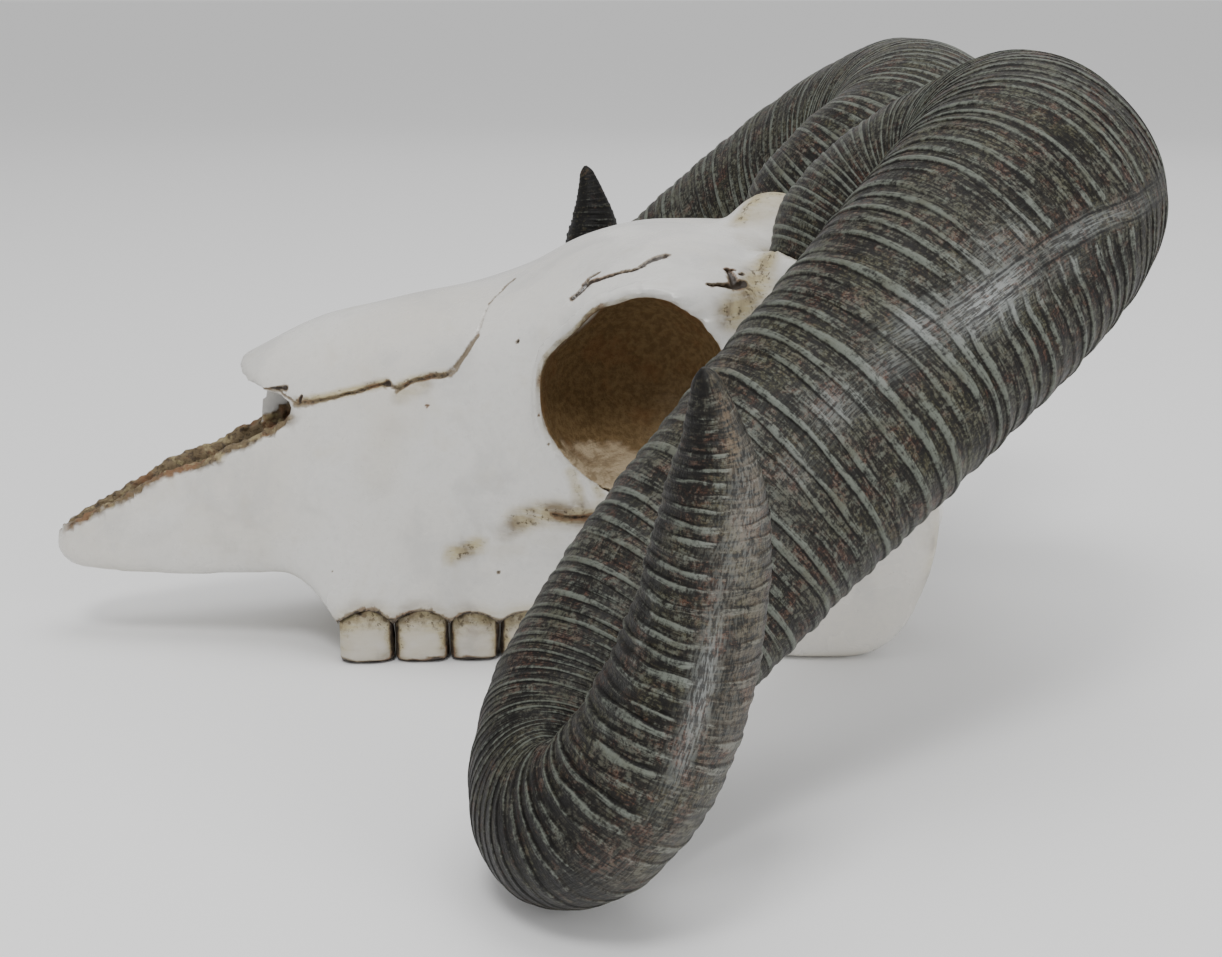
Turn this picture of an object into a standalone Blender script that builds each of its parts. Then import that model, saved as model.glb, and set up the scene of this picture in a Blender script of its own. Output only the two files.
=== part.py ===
"""Life-size cast ram skull with two full-curl horns, lying on its teeth, occiput and horn curls.

Axes: -X towards the nose, -Y towards the animal's left, +Z up. The surface it lies on is
Z = 0, and the middle of the object's length is X = 0. All lengths are in metres.
"""

import math

import bmesh
import bpy
import numpy as np
from mathutils import Matrix, Vector

# ---------------------------------------------------------------- driving dimensions

SEAT_GAP = 0.0003  # air between a horn and the bone it sits on
NOSE_X = -0.1665  # tip of the premaxilla
OCCIPUT_X = 0.1140  # back of the braincase
SIDES = (-1.0, 1.0)  # animal's left, animal's right

# Outlines of the skull, as (x, height) or (x, half width). Each is read as a smooth curve.
ROOF_HEIGHT = (
    (NOSE_X, 0.0342), (-0.1653, 0.0368), (-0.1625, 0.0430), (-0.1500, 0.0600), (-0.1280, 0.0800),
    (-0.1040, 0.0915), (-0.0800, 0.1033), (-0.0550, 0.1092), (-0.0290, 0.1140), (-0.0100, 0.1203),
    (0.0030, 0.1268), (0.0170, 0.1310), (0.0350, 0.1322), (0.0550, 0.1318), (0.0750, 0.1240),
    (0.0950, 0.1020), (0.1070, 0.0850), (OCCIPUT_X, 0.0640),
)
BROW_HALF_WIDTH = (
    (NOSE_X, 0.0022), (-0.1653, 0.0045), (-0.1625, 0.0062), (-0.1500, 0.0092), (-0.1280, 0.0120),
    (-0.1040, 0.0130), (-0.0800, 0.0185), (-0.0550, 0.0235), (-0.0290, 0.0300), (0.0000, 0.0430),
    (0.0170, 0.0535), (0.0350, 0.0600), (0.0490, 0.0575), (0.0650, 0.0460), (0.0850, 0.0390),
    (0.1050, 0.0270), (OCCIPUT_X, 0.0140),
)
BROW_HEIGHT = (
    (NOSE_X, 0.0335), (-0.1653, 0.0350), (-0.1625, 0.0390), (-0.1500, 0.0500), (-0.1280, 0.0665),
    (-0.1040, 0.0835), (-0.0800, 0.0925), (-0.0550, 0.0985), (-0.0290, 0.1040), (0.0000, 0.1150),
    (0.0170, 0.1205), (0.0350, 0.1222), (0.0490, 0.1190), (0.0650, 0.1080), (0.0850, 0.0930),
    (0.1050, 0.0720), (OCCIPUT_X, 0.0580),
)
CHEEK_HALF_WIDTH = (
    (NOSE_X, 0.0036), (-0.1653, 0.0066), (-0.1625, 0.0086), (-0.1500, 0.0122), (-0.1280, 0.0160),
    (-0.1040, 0.0200), (-0.0800, 0.0262), (-0.0550, 0.0330), (-0.0290, 0.0410), (0.0000, 0.0535),
    (0.0170, 0.0610), (0.0350, 0.0655), (0.0490, 0.0610), (0.0650, 0.0440), (0.0850, 0.0415),
    (0.1050, 0.0310), (OCCIPUT_X, 0.0170),
)
CHEEK_HEIGHT = (
    (NOSE_X, 0.0320), (-0.1653, 0.0322), (-0.1625, 0.0335), (-0.1500, 0.0395), (-0.1280, 0.0485),
    (-0.1040, 0.0580), (-0.0800, 0.0640), (-0.0290, 0.0720), (0.0000, 0.0860), (0.0170, 0.0890),
    (0.0490, 0.0890), (0.0650, 0.0800), (0.0850, 0.0700), (0.1050, 0.0560), (OCCIPUT_X, 0.0500),
)
CREST_HALF_WIDTH = (
    (NOSE_X, 0.0036), (-0.1653, 0.0066), (-0.1625, 0.0090), (-0.1500, 0.0134), (-0.1280, 0.0178),
    (-0.1040, 0.0222), (-0.0800, 0.0298), (-0.0550, 0.0378), (-0.0290, 0.0462), (0.0000, 0.0568),
    (0.0170, 0.0608), (0.0350, 0.0612), (0.0490, 0.0540), (0.0650, 0.0400), (0.0850, 0.0395),
    (0.1050, 0.0310), (OCCIPUT_X, 0.0175),
)
CREST_HEIGHT = (
    (NOSE_X, 0.0302), (-0.1653, 0.0288), (-0.1625, 0.0284), (-0.1500, 0.0310), (-0.1280, 0.0360),
    (-0.1040, 0.0400), (-0.0800, 0.0425), (-0.0290, 0.0470), (0.0000, 0.0530), (0.0170, 0.0560),
    (0.0490, 0.0580), (0.0650, 0.0550), (0.0850, 0.0480), (0.1050, 0.0400), (OCCIPUT_X, 0.0420),
)
JAW_HALF_WIDTH = (
    (NOSE_X, 0.0022), (-0.1653, 0.0045), (-0.1625, 0.0070), (-0.1500, 0.0122), (-0.1280, 0.0160),
    (-0.1040, 0.0205), (-0.0870, 0.0275), (-0.0745, 0.0390), (-0.0550, 0.0405), (0.0000, 0.0415),
    (0.0170, 0.0402), (0.0300, 0.0350), (0.0450, 0.0250), (0.0650, 0.0220), (0.0950, 0.0235),
    (OCCIPUT_X, 0.0120),
)
JAW_HEIGHT = (
    (NOSE_X, 0.0288), (-0.1653, 0.0268), (-0.1625, 0.0252), (-0.1500, 0.0236), (-0.1280, 0.0232),
    (-0.1040, 0.0242), (-0.0865, 0.0246), (-0.0790, 0.0190), (-0.0742, 0.0130), (-0.0600, 0.0125),
    (0.0100, 0.0128), (0.0250, 0.0150), (0.0400, 0.0260), (0.0600, 0.0300), (0.0950, 0.0270),
    (OCCIPUT_X, 0.0330),
)
RIDGE_BREADTH = (
    (NOSE_X, 0.0014), (-0.1625, 0.0035), (-0.1280, 0.0080), (-0.0950, 0.0120), (-0.0760, 0.0160),
    (0.0200, 0.0165), (0.0450, 0.0110), (OCCIPUT_X, 0.0060),
)
PALATE_HEIGHT = (
    (NOSE_X, 0.0284), (-0.1653, 0.0264), (-0.1625, 0.0250), (-0.1500, 0.0240), (-0.1040, 0.0255),
    (-0.0760, 0.0290), (-0.0400, 0.0320), (0.0200, 0.0350), (0.0600, 0.0320), (0.0950, 0.0300),
    (OCCIPUT_X, 0.0350),
)
SKULL_END_STATIONS = (0.0, 0.0012, 0.0040)  # distances of the close rings from each end
SKULL_STATION_MARGINS = (0.0090, 0.0100)  # where the even rings begin and end
SKULL_STATIONS = 29
SKULL_RING_STEPS = 3

# Side outline of the open nose, between the tip of the nasal bones and the premaxilla's edge.
NASAL_TIP = (-0.1045, 0.0890)
NOSE_OPENING = (
    (-0.1900, 0.0360), (-0.1680, 0.0345), (-0.1600, 0.0376), (-0.1490, 0.0436), (-0.1380, 0.0483),
    (-0.1275, 0.0540), (-0.1165, 0.0572), (-0.1015, 0.0645), (-0.0930, 0.0707), (-0.0845, 0.0758),
    (-0.0860, 0.0786), (-0.0979, 0.0826), (-0.1037, 0.0866), NASAL_TIP, (-0.1044, 0.0915),
    (-0.1030, 0.0990), (-0.1200, 0.1150), (-0.1900, 0.1150),
)
NOSE_CAVITY = (
    # x, half width, floor, roof
    (-0.1780, 0.0022, 0.0320, 0.0900), (-0.1640, 0.0030, 0.0315, 0.0900),
    (-0.1560, 0.0056, 0.0300, 0.0900), (-0.1450, 0.0076, 0.0305, 0.0890),
    (-0.1250, 0.0094, 0.0320, 0.0870), (-0.1040, 0.0112, 0.0350, 0.0870),
    (-0.0850, 0.0150, 0.0400, 0.0950), (-0.0650, 0.0160, 0.0460, 0.0990),
    (-0.0480, 0.0120, 0.0560, 0.0960), (-0.0400, 0.0040, 0.0680, 0.0860),
)
NOSE_CAVITY_STATIONS = 12
NOSE_CAVITY_SIDES = 16
NOSE_CAVITY_SQUARENESS = 0.75
NOSE_CUT_HALF_WIDTH = 0.0600  # wider than the snout

# The thin upright plate in the middle of the nose, as a side outline.
SEPTUM_THICKNESS = 0.0030
SEPTUM_OUTLINE = (
    (-0.0950, 0.0480), (-0.0990, 0.0700), (-0.0980, 0.0880), (-0.0420, 0.0960), (-0.0420, 0.0480),
)

# The long slots through the floor of the nose.
FISSURE_X = (-0.1530, -0.1180)
FISSURE_Y = 0.0052
FISSURE_HALF_WIDTH = 0.0021
FISSURE_HEIGHTS = (0.0150, 0.0400)
FISSURE_SIDES = 12

# Cheek teeth: one row a side, from the second premolar back.
TOOTH_COUNT = 6
TOOTH_PITCH = 0.0168
TOOTH_GAP = 0.0012
TOOTH_BREADTH = 0.0158
TOOTH_HEIGHT = 0.0210
TOOTH_ROUNDING = 0.0026
TOOTH_ROW_X = -0.0745
TOOTH_ROW_OUTER_Y = 0.0404

# Eye sockets.
ORBIT_CENTRE = Vector((0.0158, 0.0610, 0.0886))
ORBIT_RADIUS = 0.0270
ORBIT_TALLER = 1.06
ORBIT_YAW = math.radians(15)
ORBIT_RIM_RADIUS = 0.0032
ORBIT_RIM_SHIFT = 0.6  # shares of the rim's radius that it lies out of and below the socket's edge
ORBIT_SIDES = 22
RIM_SIDES = 6
ORBIT_BOWL = (
    # distance out of the rim plane, share of the orbit's radius
    (0.0300, 1.06), (0.0040, 1.03), (0.0000, 1.00), (-0.0120, 1.01), (-0.0240, 0.88),
    (-0.0335, 0.58), (-0.0390, 0.20),
)

# Zygomatic arch, occipital lobe, condyles and crest.
ARCH_PATH = ((0.036, 0.0585, 0.0605), (0.052, 0.0590, 0.0600), (0.068, 0.0560, 0.0590),
             (0.082, 0.0480, 0.0570), (0.092, 0.0380, 0.0550))
ARCH_RADIUS = 0.0048
CREST_PATH = ((0.0900, -0.0330, 0.0560), (0.0990, -0.0305, 0.0770), (0.1030, -0.0175, 0.0895),
              (0.1045, 0.0000, 0.0940), (0.1030, 0.0175, 0.0895), (0.0990, 0.0305, 0.0770),
              (0.0900, 0.0330, 0.0560))
CREST_RADIUS = 0.0042
LOBE = (
    # height, front x, back x, inner y, outer y
    (0.0000, 0.0600, 0.0915, 0.0345, 0.0445), (0.0025, 0.0570, 0.0970, 0.0325, 0.0462),
    (0.0090, 0.0540, 0.1040, 0.0305, 0.0475), (0.0180, 0.0510, 0.1083, 0.0285, 0.0483),
    (0.0340, 0.0485, 0.1135, 0.0250, 0.0484), (0.0500, 0.0500, 0.1140, 0.0200, 0.0465),
    (0.0680, 0.0560, 0.1060, 0.0120, 0.0400),
)
LOBE_SQUARENESS = 0.77
LOBE_SIDES = 16
CONDYLE_CENTRE = Vector((0.1120, 0.0140, 0.0400))
CONDYLE_RADII = Vector((0.0090, 0.0090, 0.0115))
CONDYLE_SIDES = 10
CONDYLE_RINGS = 6
FORAMEN_CENTRE = Vector((0.1200, 0.0, 0.0480))
FORAMEN_RADIUS = 0.0085
FORAMEN_BORE = ((-0.0100, 1.1), (0.0000, 1.0), (0.0144, 0.9), (0.0240, 0.5))  # depth, share of radius
FORAMEN_SIDES = 14
PEAK_CENTRE = Vector((0.0650, 0.0, 0.1080))
PEAK_RADII = Vector((0.0215, 0.0215, 0.0340))

# Horns: control points and radii of a smooth curve from the seat on the skull to the tip.
HORN_PATH = (
    (0.082, 0.038, 0.1105), (0.100, 0.031, 0.1345), (0.127, 0.045, 0.1495),
    (0.128, 0.094, 0.1525), (0.076, 0.137, 0.1125), (-0.010, 0.177, 0.0335),
    (-0.015, 0.221, 0.0150), (0.012, 0.241, 0.0445), (0.024, 0.233, 0.1005),
    (0.017, 0.240, 0.1285),
)
HORN_RADII = (0.0325, 0.0335, 0.0405, 0.0370, 0.0270, 0.0201, 0.0172, 0.0050)
HORN_SIDES = 18
HORN_RINGS = 44
HORN_TRIANGLE = -0.028  # how far the round section leans to a rounded triangle
HORN_KEEL_OUT = Vector((0.0, 1.0, 0.15))  # side of the section that carries the keel, on the band
HORN_KEEL_AT = 0.38
HORN_FINE_STEPS = 400
HORN_TURN_SPAN = 4  # fine steps each way over which a bend is measured
BEND_ROOM = 0.85  # share of a bend's own radius that the horn may fill on its inside
BEND_SHARPNESS = 6
TIP_SHARE = 0.55  # radius of the blunt end, and how far it stands out, as shares of the last radius
TIP_REACH = 0.8
BOSS_ROOT = Vector((0.0640, 0.0280, 0.0900))
BOSS_RADII = (0.0300, 0.0312)
BOSS_SIDES = 18

BONE_COLOR = (0.74, 0.72, 0.69, 1.0)
BONE_ROUGHNESS = 0.35
HORN_COLOR = (0.10, 0.105, 0.098, 1.0)
HORN_ROUGHNESS = 0.5
SHARP_ANGLE = math.radians(40)


# ---------------------------------------------------------------- curves and lofts


def turns(count):
    """Angles at even steps round a full turn."""
    return [2 * math.pi * k / count for k in range(count)]


def smooth_curve(knots):
    """A function that reads a smooth curve through (position, value) knots."""
    at = np.array([k[0] for k in knots])
    value = np.array([k[1] for k in knots])
    step = np.diff(at)
    rise = np.diff(value) / step
    inner = (rise[:-1] * step[1:] + rise[1:] * step[:-1]) / (step[:-1] + step[1:])
    slope = np.concatenate([rise[:1], inner, rise[-1:]])

    def read(position):
        i = int(np.clip(np.searchsorted(at, position) - 1, 0, len(step) - 1))
        u = float(np.clip((position - at[i]) / step[i], 0.0, 1.0))
        low = (1 + 2 * u) * (1 - u) ** 2 * value[i] + u * (1 - u) ** 2 * step[i] * slope[i]
        high = u * u * (3 - 2 * u) * value[i + 1] - u * u * (1 - u) * step[i] * slope[i + 1]
        return float(low + high)

    return read


def between(before, start, end, after, u):
    """A point at share u of the smooth stretch from start to end."""
    bend = (2 * before - 5 * start + 4 * end - after) * u * u
    sway = (3 * start - before - 3 * end + after) * u ** 3
    return 0.5 * (2 * start + (end - before) * u + bend + sway)


def rounded_ring(corners, steps):
    """Points of a closed smooth curve through the corners, with steps points from each to the next."""
    ring = []
    count = len(corners)
    for i in range(count):
        before, start, end, after = (Vector(corners[(i + k) % count]) for k in (-1, 0, 1, 2))
        ring.extend(between(before, start, end, after, k / steps) for k in range(steps))
    return ring


def spline_weights(count, degree, position):
    """Weights of the control points of a clamped uniform B-spline at a position from 0 to 1."""
    inner = np.linspace(0.0, 1.0, count - degree + 1)
    knots = np.concatenate([np.zeros(degree), inner, np.ones(degree)])
    position = min(max(position, 0.0), 1.0 - 1e-9)
    weights = [1.0 if knots[i] <= position < knots[i + 1] else 0.0 for i in range(len(knots) - 1)]
    for order in range(1, degree + 1):
        raised = []
        for i in range(len(weights) - 1):
            left = knots[i + order] - knots[i]
            right = knots[i + order + 1] - knots[i + 1]
            grow = (position - knots[i]) / left * weights[i] if left > 0 else 0.0
            fade = (knots[i + order + 1] - position) / right * weights[i + 1] if right > 0 else 0.0
            raised.append(grow + fade)
        weights = raised
    return np.array(weights)


def loft(name, rings):
    """A closed mesh object through rings of equally many points, capped at both ends."""
    mesh = bpy.data.meshes.new(name)
    body = bmesh.new()
    rows = [[body.verts.new(point) for point in ring] for ring in rings]
    count = len(rows[0])
    for low, high in zip(rows, rows[1:]):
        for i in range(count):
            j = (i + 1) % count
            body.faces.new((low[i], low[j], high[j], high[i]))
    for row in (rows[0], rows[-1]):
        middle = body.verts.new(sum((v.co for v in row), Vector()) / count)
        for i in range(count):
            body.faces.new((row[i], row[(i + 1) % count], middle))
    bmesh.ops.recalc_face_normals(body, faces=body.faces)
    body.to_mesh(mesh)
    body.free()
    shape = bpy.data.objects.new(name, mesh)
    bpy.context.scene.collection.objects.link(shape)
    return shape


def ball(name, centre, radii, segments=16, rings=8):
    """An ellipsoid."""
    mesh = bpy.data.meshes.new(name)
    body = bmesh.new()
    bmesh.ops.create_uvsphere(body, u_segments=segments, v_segments=rings, radius=1.0)
    bmesh.ops.scale(body, vec=radii, verts=body.verts)
    bmesh.ops.translate(body, vec=centre, verts=body.verts)
    body.to_mesh(mesh)
    body.free()
    shape = bpy.data.objects.new(name, mesh)
    bpy.context.scene.collection.objects.link(shape)
    return shape


def tube(name, path, radius, sides=6, steps=2):
    """A round bar with tapered ends along a smooth path."""
    points = [Vector(p) for p in path]
    along = []
    for i in range(len(points) - 1):
        before = points[max(i - 1, 0)]
        start, end = points[i], points[i + 1]
        after = points[min(i + 2, len(points) - 1)]
        along.extend(between(before, start, end, after, k / steps) for k in range(steps))
    along.append(points[-1])
    rings = []
    for i, centre in enumerate(along):
        direction = (along[min(i + 1, len(along) - 1)] - along[max(i - 1, 0)]).normalized()
        side = direction.cross(Vector((0, 0, 1))).normalized()
        up = side.cross(direction)
        rings.append([centre + radius * (side * math.cos(a) + up * math.sin(a)) for a in turns(sides)])
    return loft(name, rings)


# ---------------------------------------------------------------- collections and booleans


def new_collection(name):
    """A collection linked to the scene."""
    made = bpy.data.collections.new(name)
    bpy.context.scene.collection.children.link(made)
    return made


def file_under(shape, collection):
    """Moves an object into a collection."""
    for old in list(shape.users_collection):
        old.objects.unlink(shape)
    collection.objects.link(shape)
    return shape


def as_cutter(shape, helpers):
    """Marks an object as a helper that is not part of the model."""
    shape.hide_render = True
    shape.display_type = "WIRE"
    return file_under(shape, helpers)


def combine(shape, other, operation, helpers):
    """Adds a Boolean modifier that joins or cuts shape with other."""
    as_cutter(other, helpers)
    modifier = shape.modifiers.new(f"{operation.lower()}_{other.name}", "BOOLEAN")
    modifier.operation = operation
    modifier.object = other
    modifier.solver = "MANIFOLD"


def material(name, color, roughness):
    """A plain Principled material."""
    made = bpy.data.materials.new(name)
    made.use_nodes = True
    shader = made.node_tree.nodes["Principled BSDF"]
    shader.inputs["Base Color"].default_value = color
    shader.inputs["Roughness"].default_value = roughness
    shader.inputs["Metallic"].default_value = 0.0
    return made


def shade(shape, finish):
    """Gives a finished node its material and smooth shading with sharp edges kept."""
    shape.data.materials.clear()
    shape.data.materials.append(finish)
    shape.data.shade_smooth()
    shape.data.set_sharp_from_angle(angle=SHARP_ANGLE)


# ---------------------------------------------------------------- skull


def skull_core():
    """The face, cheeks and braincase as one loft from the nose to the occiput."""
    roof, palate = smooth_curve(ROOF_HEIGHT), smooth_curve(PALATE_HEIGHT)
    brow = smooth_curve(BROW_HALF_WIDTH), smooth_curve(BROW_HEIGHT)
    cheek = smooth_curve(CHEEK_HALF_WIDTH), smooth_curve(CHEEK_HEIGHT)
    crest = smooth_curve(CREST_HALF_WIDTH), smooth_curve(CREST_HEIGHT)
    jaw = smooth_curve(JAW_HALF_WIDTH), smooth_curve(JAW_HEIGHT)
    breadth = smooth_curve(RIDGE_BREADTH)
    rings = []
    for x in skull_stations():
        half = [(line[0](x), line[1](x)) for line in (brow, cheek, crest, jaw)]
        half.append((jaw[0](x) - breadth(x), jaw[1](x)))
        right = [(x, y, z) for y, z in half]
        left = [(x, -y, z) for y, z in reversed(half)]
        corners = [(x, 0.0, roof(x)), *right, (x, 0.0, palate(x)), *left]
        rings.append(rounded_ring(corners, SKULL_RING_STEPS))
    return loft("skull", rings)


def skull_stations():
    """Where the rings of the core stand: close together at its two rounded ends."""
    front, back = SKULL_STATION_MARGINS
    nose = [NOSE_X + distance for distance in SKULL_END_STATIONS]
    even = np.linspace(NOSE_X + front, OCCIPUT_X - back, SKULL_STATIONS)
    occiput = [OCCIPUT_X - distance for distance in reversed(SKULL_END_STATIONS)]
    return [*nose, *even, *occiput]


def squared(value, power):
    """A cosine or sine pushed towards a squarer outline, its sign kept."""
    return math.copysign(abs(value) ** power, value)


def side_prism(name, outline, half_width):
    """A prism across the skull with a side outline given as (x, z) points."""
    return loft(name, [[(x, side * half_width, z) for x, z in outline] for side in SIDES])


def nose_cavity():
    """The hollow of the nose, open to the front and above the premaxilla."""
    columns = [smooth_curve([(row[0], row[k]) for row in NOSE_CAVITY]) for k in (1, 2, 3)]
    first, last = NOSE_CAVITY[0][0], NOSE_CAVITY[-1][0]
    rings = []
    for x in np.linspace(first, last, NOSE_CAVITY_STATIONS):
        width, floor, roof = (column(x) for column in columns)
        middle, tall = (floor + roof) / 2, (roof - floor) / 2
        rings.append([(x, width * squared(math.cos(a), NOSE_CAVITY_SQUARENESS),
                       middle + tall * squared(math.sin(a), NOSE_CAVITY_SQUARENESS))
                      for a in turns(NOSE_CAVITY_SIDES)])
    return loft("nose_cavity", rings)


def septum():
    """The thin upright plate in the middle of the nose."""
    return side_prism("septum", SEPTUM_OUTLINE, SEPTUM_THICKNESS / 2)


def nose_fissure(side):
    """A long slot through the floor of the nose."""
    front, back = FISSURE_X
    middle, half = (front + back) / 2, (back - front) / 2
    rings = []
    for z in FISSURE_HEIGHTS:
        rings.append([(middle + half * math.cos(a),
                       side * FISSURE_Y + FISSURE_HALF_WIDTH * math.sin(a), z)
                      for a in turns(FISSURE_SIDES)])
    return loft("nose_fissure", rings)


def orbit_matrix(side):
    """Places a disc that faces +Z on the rim of an eye socket."""
    turn = Matrix.Rotation(-side * math.pi / 2, 4, "X")
    yaw = Matrix.Rotation(side * ORBIT_YAW, 4, "Z")
    place = Matrix.Translation((ORBIT_CENTRE.x, side * ORBIT_CENTRE.y, ORBIT_CENTRE.z))
    return place @ yaw @ turn


def orbit_bowl(side):
    """The hollow of an eye socket."""
    rings = []
    for out, share in ORBIT_BOWL:
        wide, tall = ORBIT_RADIUS * share, ORBIT_RADIUS * share * ORBIT_TALLER
        rings.append([orbit_matrix(side) @ Vector((wide * math.cos(a), tall * math.sin(a), out))
                      for a in turns(ORBIT_SIDES)])
    return loft(f"orbit_{'right' if side > 0 else 'left'}", rings)


def orbit_rim(side):
    """The raised edge round an eye socket."""
    mesh = bpy.data.meshes.new("orbit_rim")
    body = bmesh.new()
    rows = []
    outwards = Vector((0.0, 0.0, 1.0))
    shift = ORBIT_RIM_SHIFT * ORBIT_RIM_RADIUS
    for a in turns(ORBIT_SIDES):
        away = Vector((math.cos(a), ORBIT_TALLER * math.sin(a), 0.0))
        centre = away * (ORBIT_RADIUS + shift) - outwards * shift
        away.normalize()
        row = [centre + ORBIT_RIM_RADIUS * (away * math.cos(b) + outwards * math.sin(b))
               for b in turns(RIM_SIDES)]
        rows.append([body.verts.new(orbit_matrix(side) @ point) for point in row])
    for row, following in zip(rows, rows[1:] + rows[:1]):
        for m in range(RIM_SIDES):
            n = (m + 1) % RIM_SIDES
            body.faces.new((row[m], row[n], following[n], following[m]))
    bmesh.ops.recalc_face_normals(body, faces=body.faces)
    body.to_mesh(mesh)
    body.free()
    shape = bpy.data.objects.new("orbit_rim", mesh)
    bpy.context.scene.collection.objects.link(shape)
    return shape


def occipital_lobe(side):
    """The smooth mass behind the jaw joint that reaches down to the surface it lies on."""
    rings = []
    for height, front, back, inner, outer in LOBE:
        middle = Vector(((front + back) / 2, side * (inner + outer) / 2, height))
        half_x, half_y = (back - front) / 2, (outer - inner) / 2
        rings.append([middle + Vector((half_x * squared(math.cos(a), LOBE_SQUARENESS),
                                       half_y * squared(math.sin(a), LOBE_SQUARENESS), 0.0))
                      for a in turns(LOBE_SIDES)])
    return loft("occipital_lobe", rings)


def foramen():
    """The hollow at the back where the spine would enter."""
    rings = []
    for depth, share in FORAMEN_BORE:
        reach = FORAMEN_RADIUS * share
        rings.append([FORAMEN_CENTRE + Vector((-depth, reach * math.cos(a), reach * math.sin(a)))
                      for a in turns(FORAMEN_SIDES)])
    return loft("foramen", rings)


def tooth(index, side):
    """One cheek tooth, a rounded block whose worn face lies flat on the surface."""
    mesh = bpy.data.meshes.new("tooth")
    body = bmesh.new()
    bmesh.ops.create_cube(body, size=1.0)
    length = TOOTH_PITCH - TOOTH_GAP
    bmesh.ops.scale(body, vec=(length, TOOTH_BREADTH, TOOTH_HEIGHT), verts=body.verts)
    upright = [e for e in body.edges if abs(e.verts[0].co.z - e.verts[1].co.z) > 0.5 * TOOTH_HEIGHT]
    bmesh.ops.bevel(body, geom=upright, offset=TOOTH_ROUNDING, segments=1, profile=0.5, affect="EDGES")
    x = TOOTH_ROW_X + TOOTH_PITCH * (index + 0.5)
    y = side * (TOOTH_ROW_OUTER_Y - TOOTH_BREADTH / 2)
    bmesh.ops.translate(body, vec=(x, y, TOOTH_HEIGHT / 2), verts=body.verts)
    body.to_mesh(mesh)
    body.free()
    shape = bpy.data.objects.new(f"tooth_{index}_{'right' if side > 0 else 'left'}", mesh)
    bpy.context.scene.collection.objects.link(shape)
    return shape


# ---------------------------------------------------------------- horns


def horn_frames(side):
    """For each ring: centre, radius, two axes of the section, bend direction and bend sharpness."""
    fine = HORN_FINE_STEPS
    path = np.array(HORN_PATH) * np.array([1.0, side, 1.0])
    radii = np.array(HORN_RADII)
    places = [Vector(spline_weights(len(path), 3, k / fine) @ path) for k in range(fine + 1)]
    widths = [float(spline_weights(len(radii), 2, k / fine) @ radii) for k in range(fine + 1)]
    ways = [(places[min(k + 1, fine)] - places[max(k - 1, 0)]).normalized() for k in range(fine + 1)]
    start = int(HORN_KEEL_AT * fine)
    keel = Vector((HORN_KEEL_OUT.x, side * HORN_KEEL_OUT.y, HORN_KEEL_OUT.z))
    keels = [None] * (fine + 1)
    for order in (range(start, fine + 1), range(start, -1, -1)):
        carried = keel
        for k in order:
            carried = (carried - ways[k] * carried.dot(ways[k])).normalized()
            keels[k] = carried
    frames = []
    length = [0.0]
    for k in range(fine):
        length.append(length[-1] + (places[k + 1] - places[k]).length)
    for i in range(HORN_RINGS):
        k = int(np.searchsorted(length, length[-1] * i / (HORN_RINGS - 1)))
        low, high = max(k - HORN_TURN_SPAN, 0), min(k + HORN_TURN_SPAN, fine)
        turn = (ways[high] - ways[low]) / max(length[high] - length[low], 1e-6)
        frames.append((places[k], widths[k], keels[k], ways[k].cross(keels[k]), turn))
    return frames


def horn(name, side, extra=0.0, ahead=0.0):
    """A horn, or with extra and ahead the slightly larger shape that clears its seat on the skull."""
    frames = horn_frames(side)
    rings = []
    for centre, radius, keel, across, turn in frames:
        ring = []
        for a in turns(HORN_SIDES):
            out = keel * math.cos(a) + across * math.sin(a)
            reach = radius * (1 + HORN_TRIANGLE * math.cos(3 * a)) + extra
            inward = out.dot(turn)
            if inward > 0:
                room = BEND_ROOM / inward
                reach = (reach ** -BEND_SHARPNESS + room ** -BEND_SHARPNESS) ** (-1 / BEND_SHARPNESS)
            ring.append(centre + out * reach)
        rings.append(ring)
    if ahead > 0:
        first = frames[0][2].cross(frames[0][3])
        rings.insert(0, [point - first * ahead for point in rings[0]])
    tip_centre, tip_radius = frames[-1][0], frames[-1][1]
    forward = (frames[-1][0] - frames[-2][0]).normalized()
    end = tip_centre + forward * tip_radius * TIP_REACH
    rings.append([end + (point - tip_centre) * TIP_SHARE for point in rings[-1]])
    return loft(name, rings)


def horn_boss(side):
    """The bony stump that carries a horn."""
    centre, _, keel, across, _ = horn_frames(side)[0]
    way = keel.cross(across)
    root = Vector((BOSS_ROOT.x, side * BOSS_ROOT.y, BOSS_ROOT.z))
    rings = []
    for middle, radius in zip((root, centre - way * SEAT_GAP), BOSS_RADII):
        rings.append([middle + radius * (keel * math.cos(a) + across * math.sin(a))
                      for a in turns(BOSS_SIDES)])
    return loft("horn_boss", rings)


# ---------------------------------------------------------------- assembly


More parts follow.
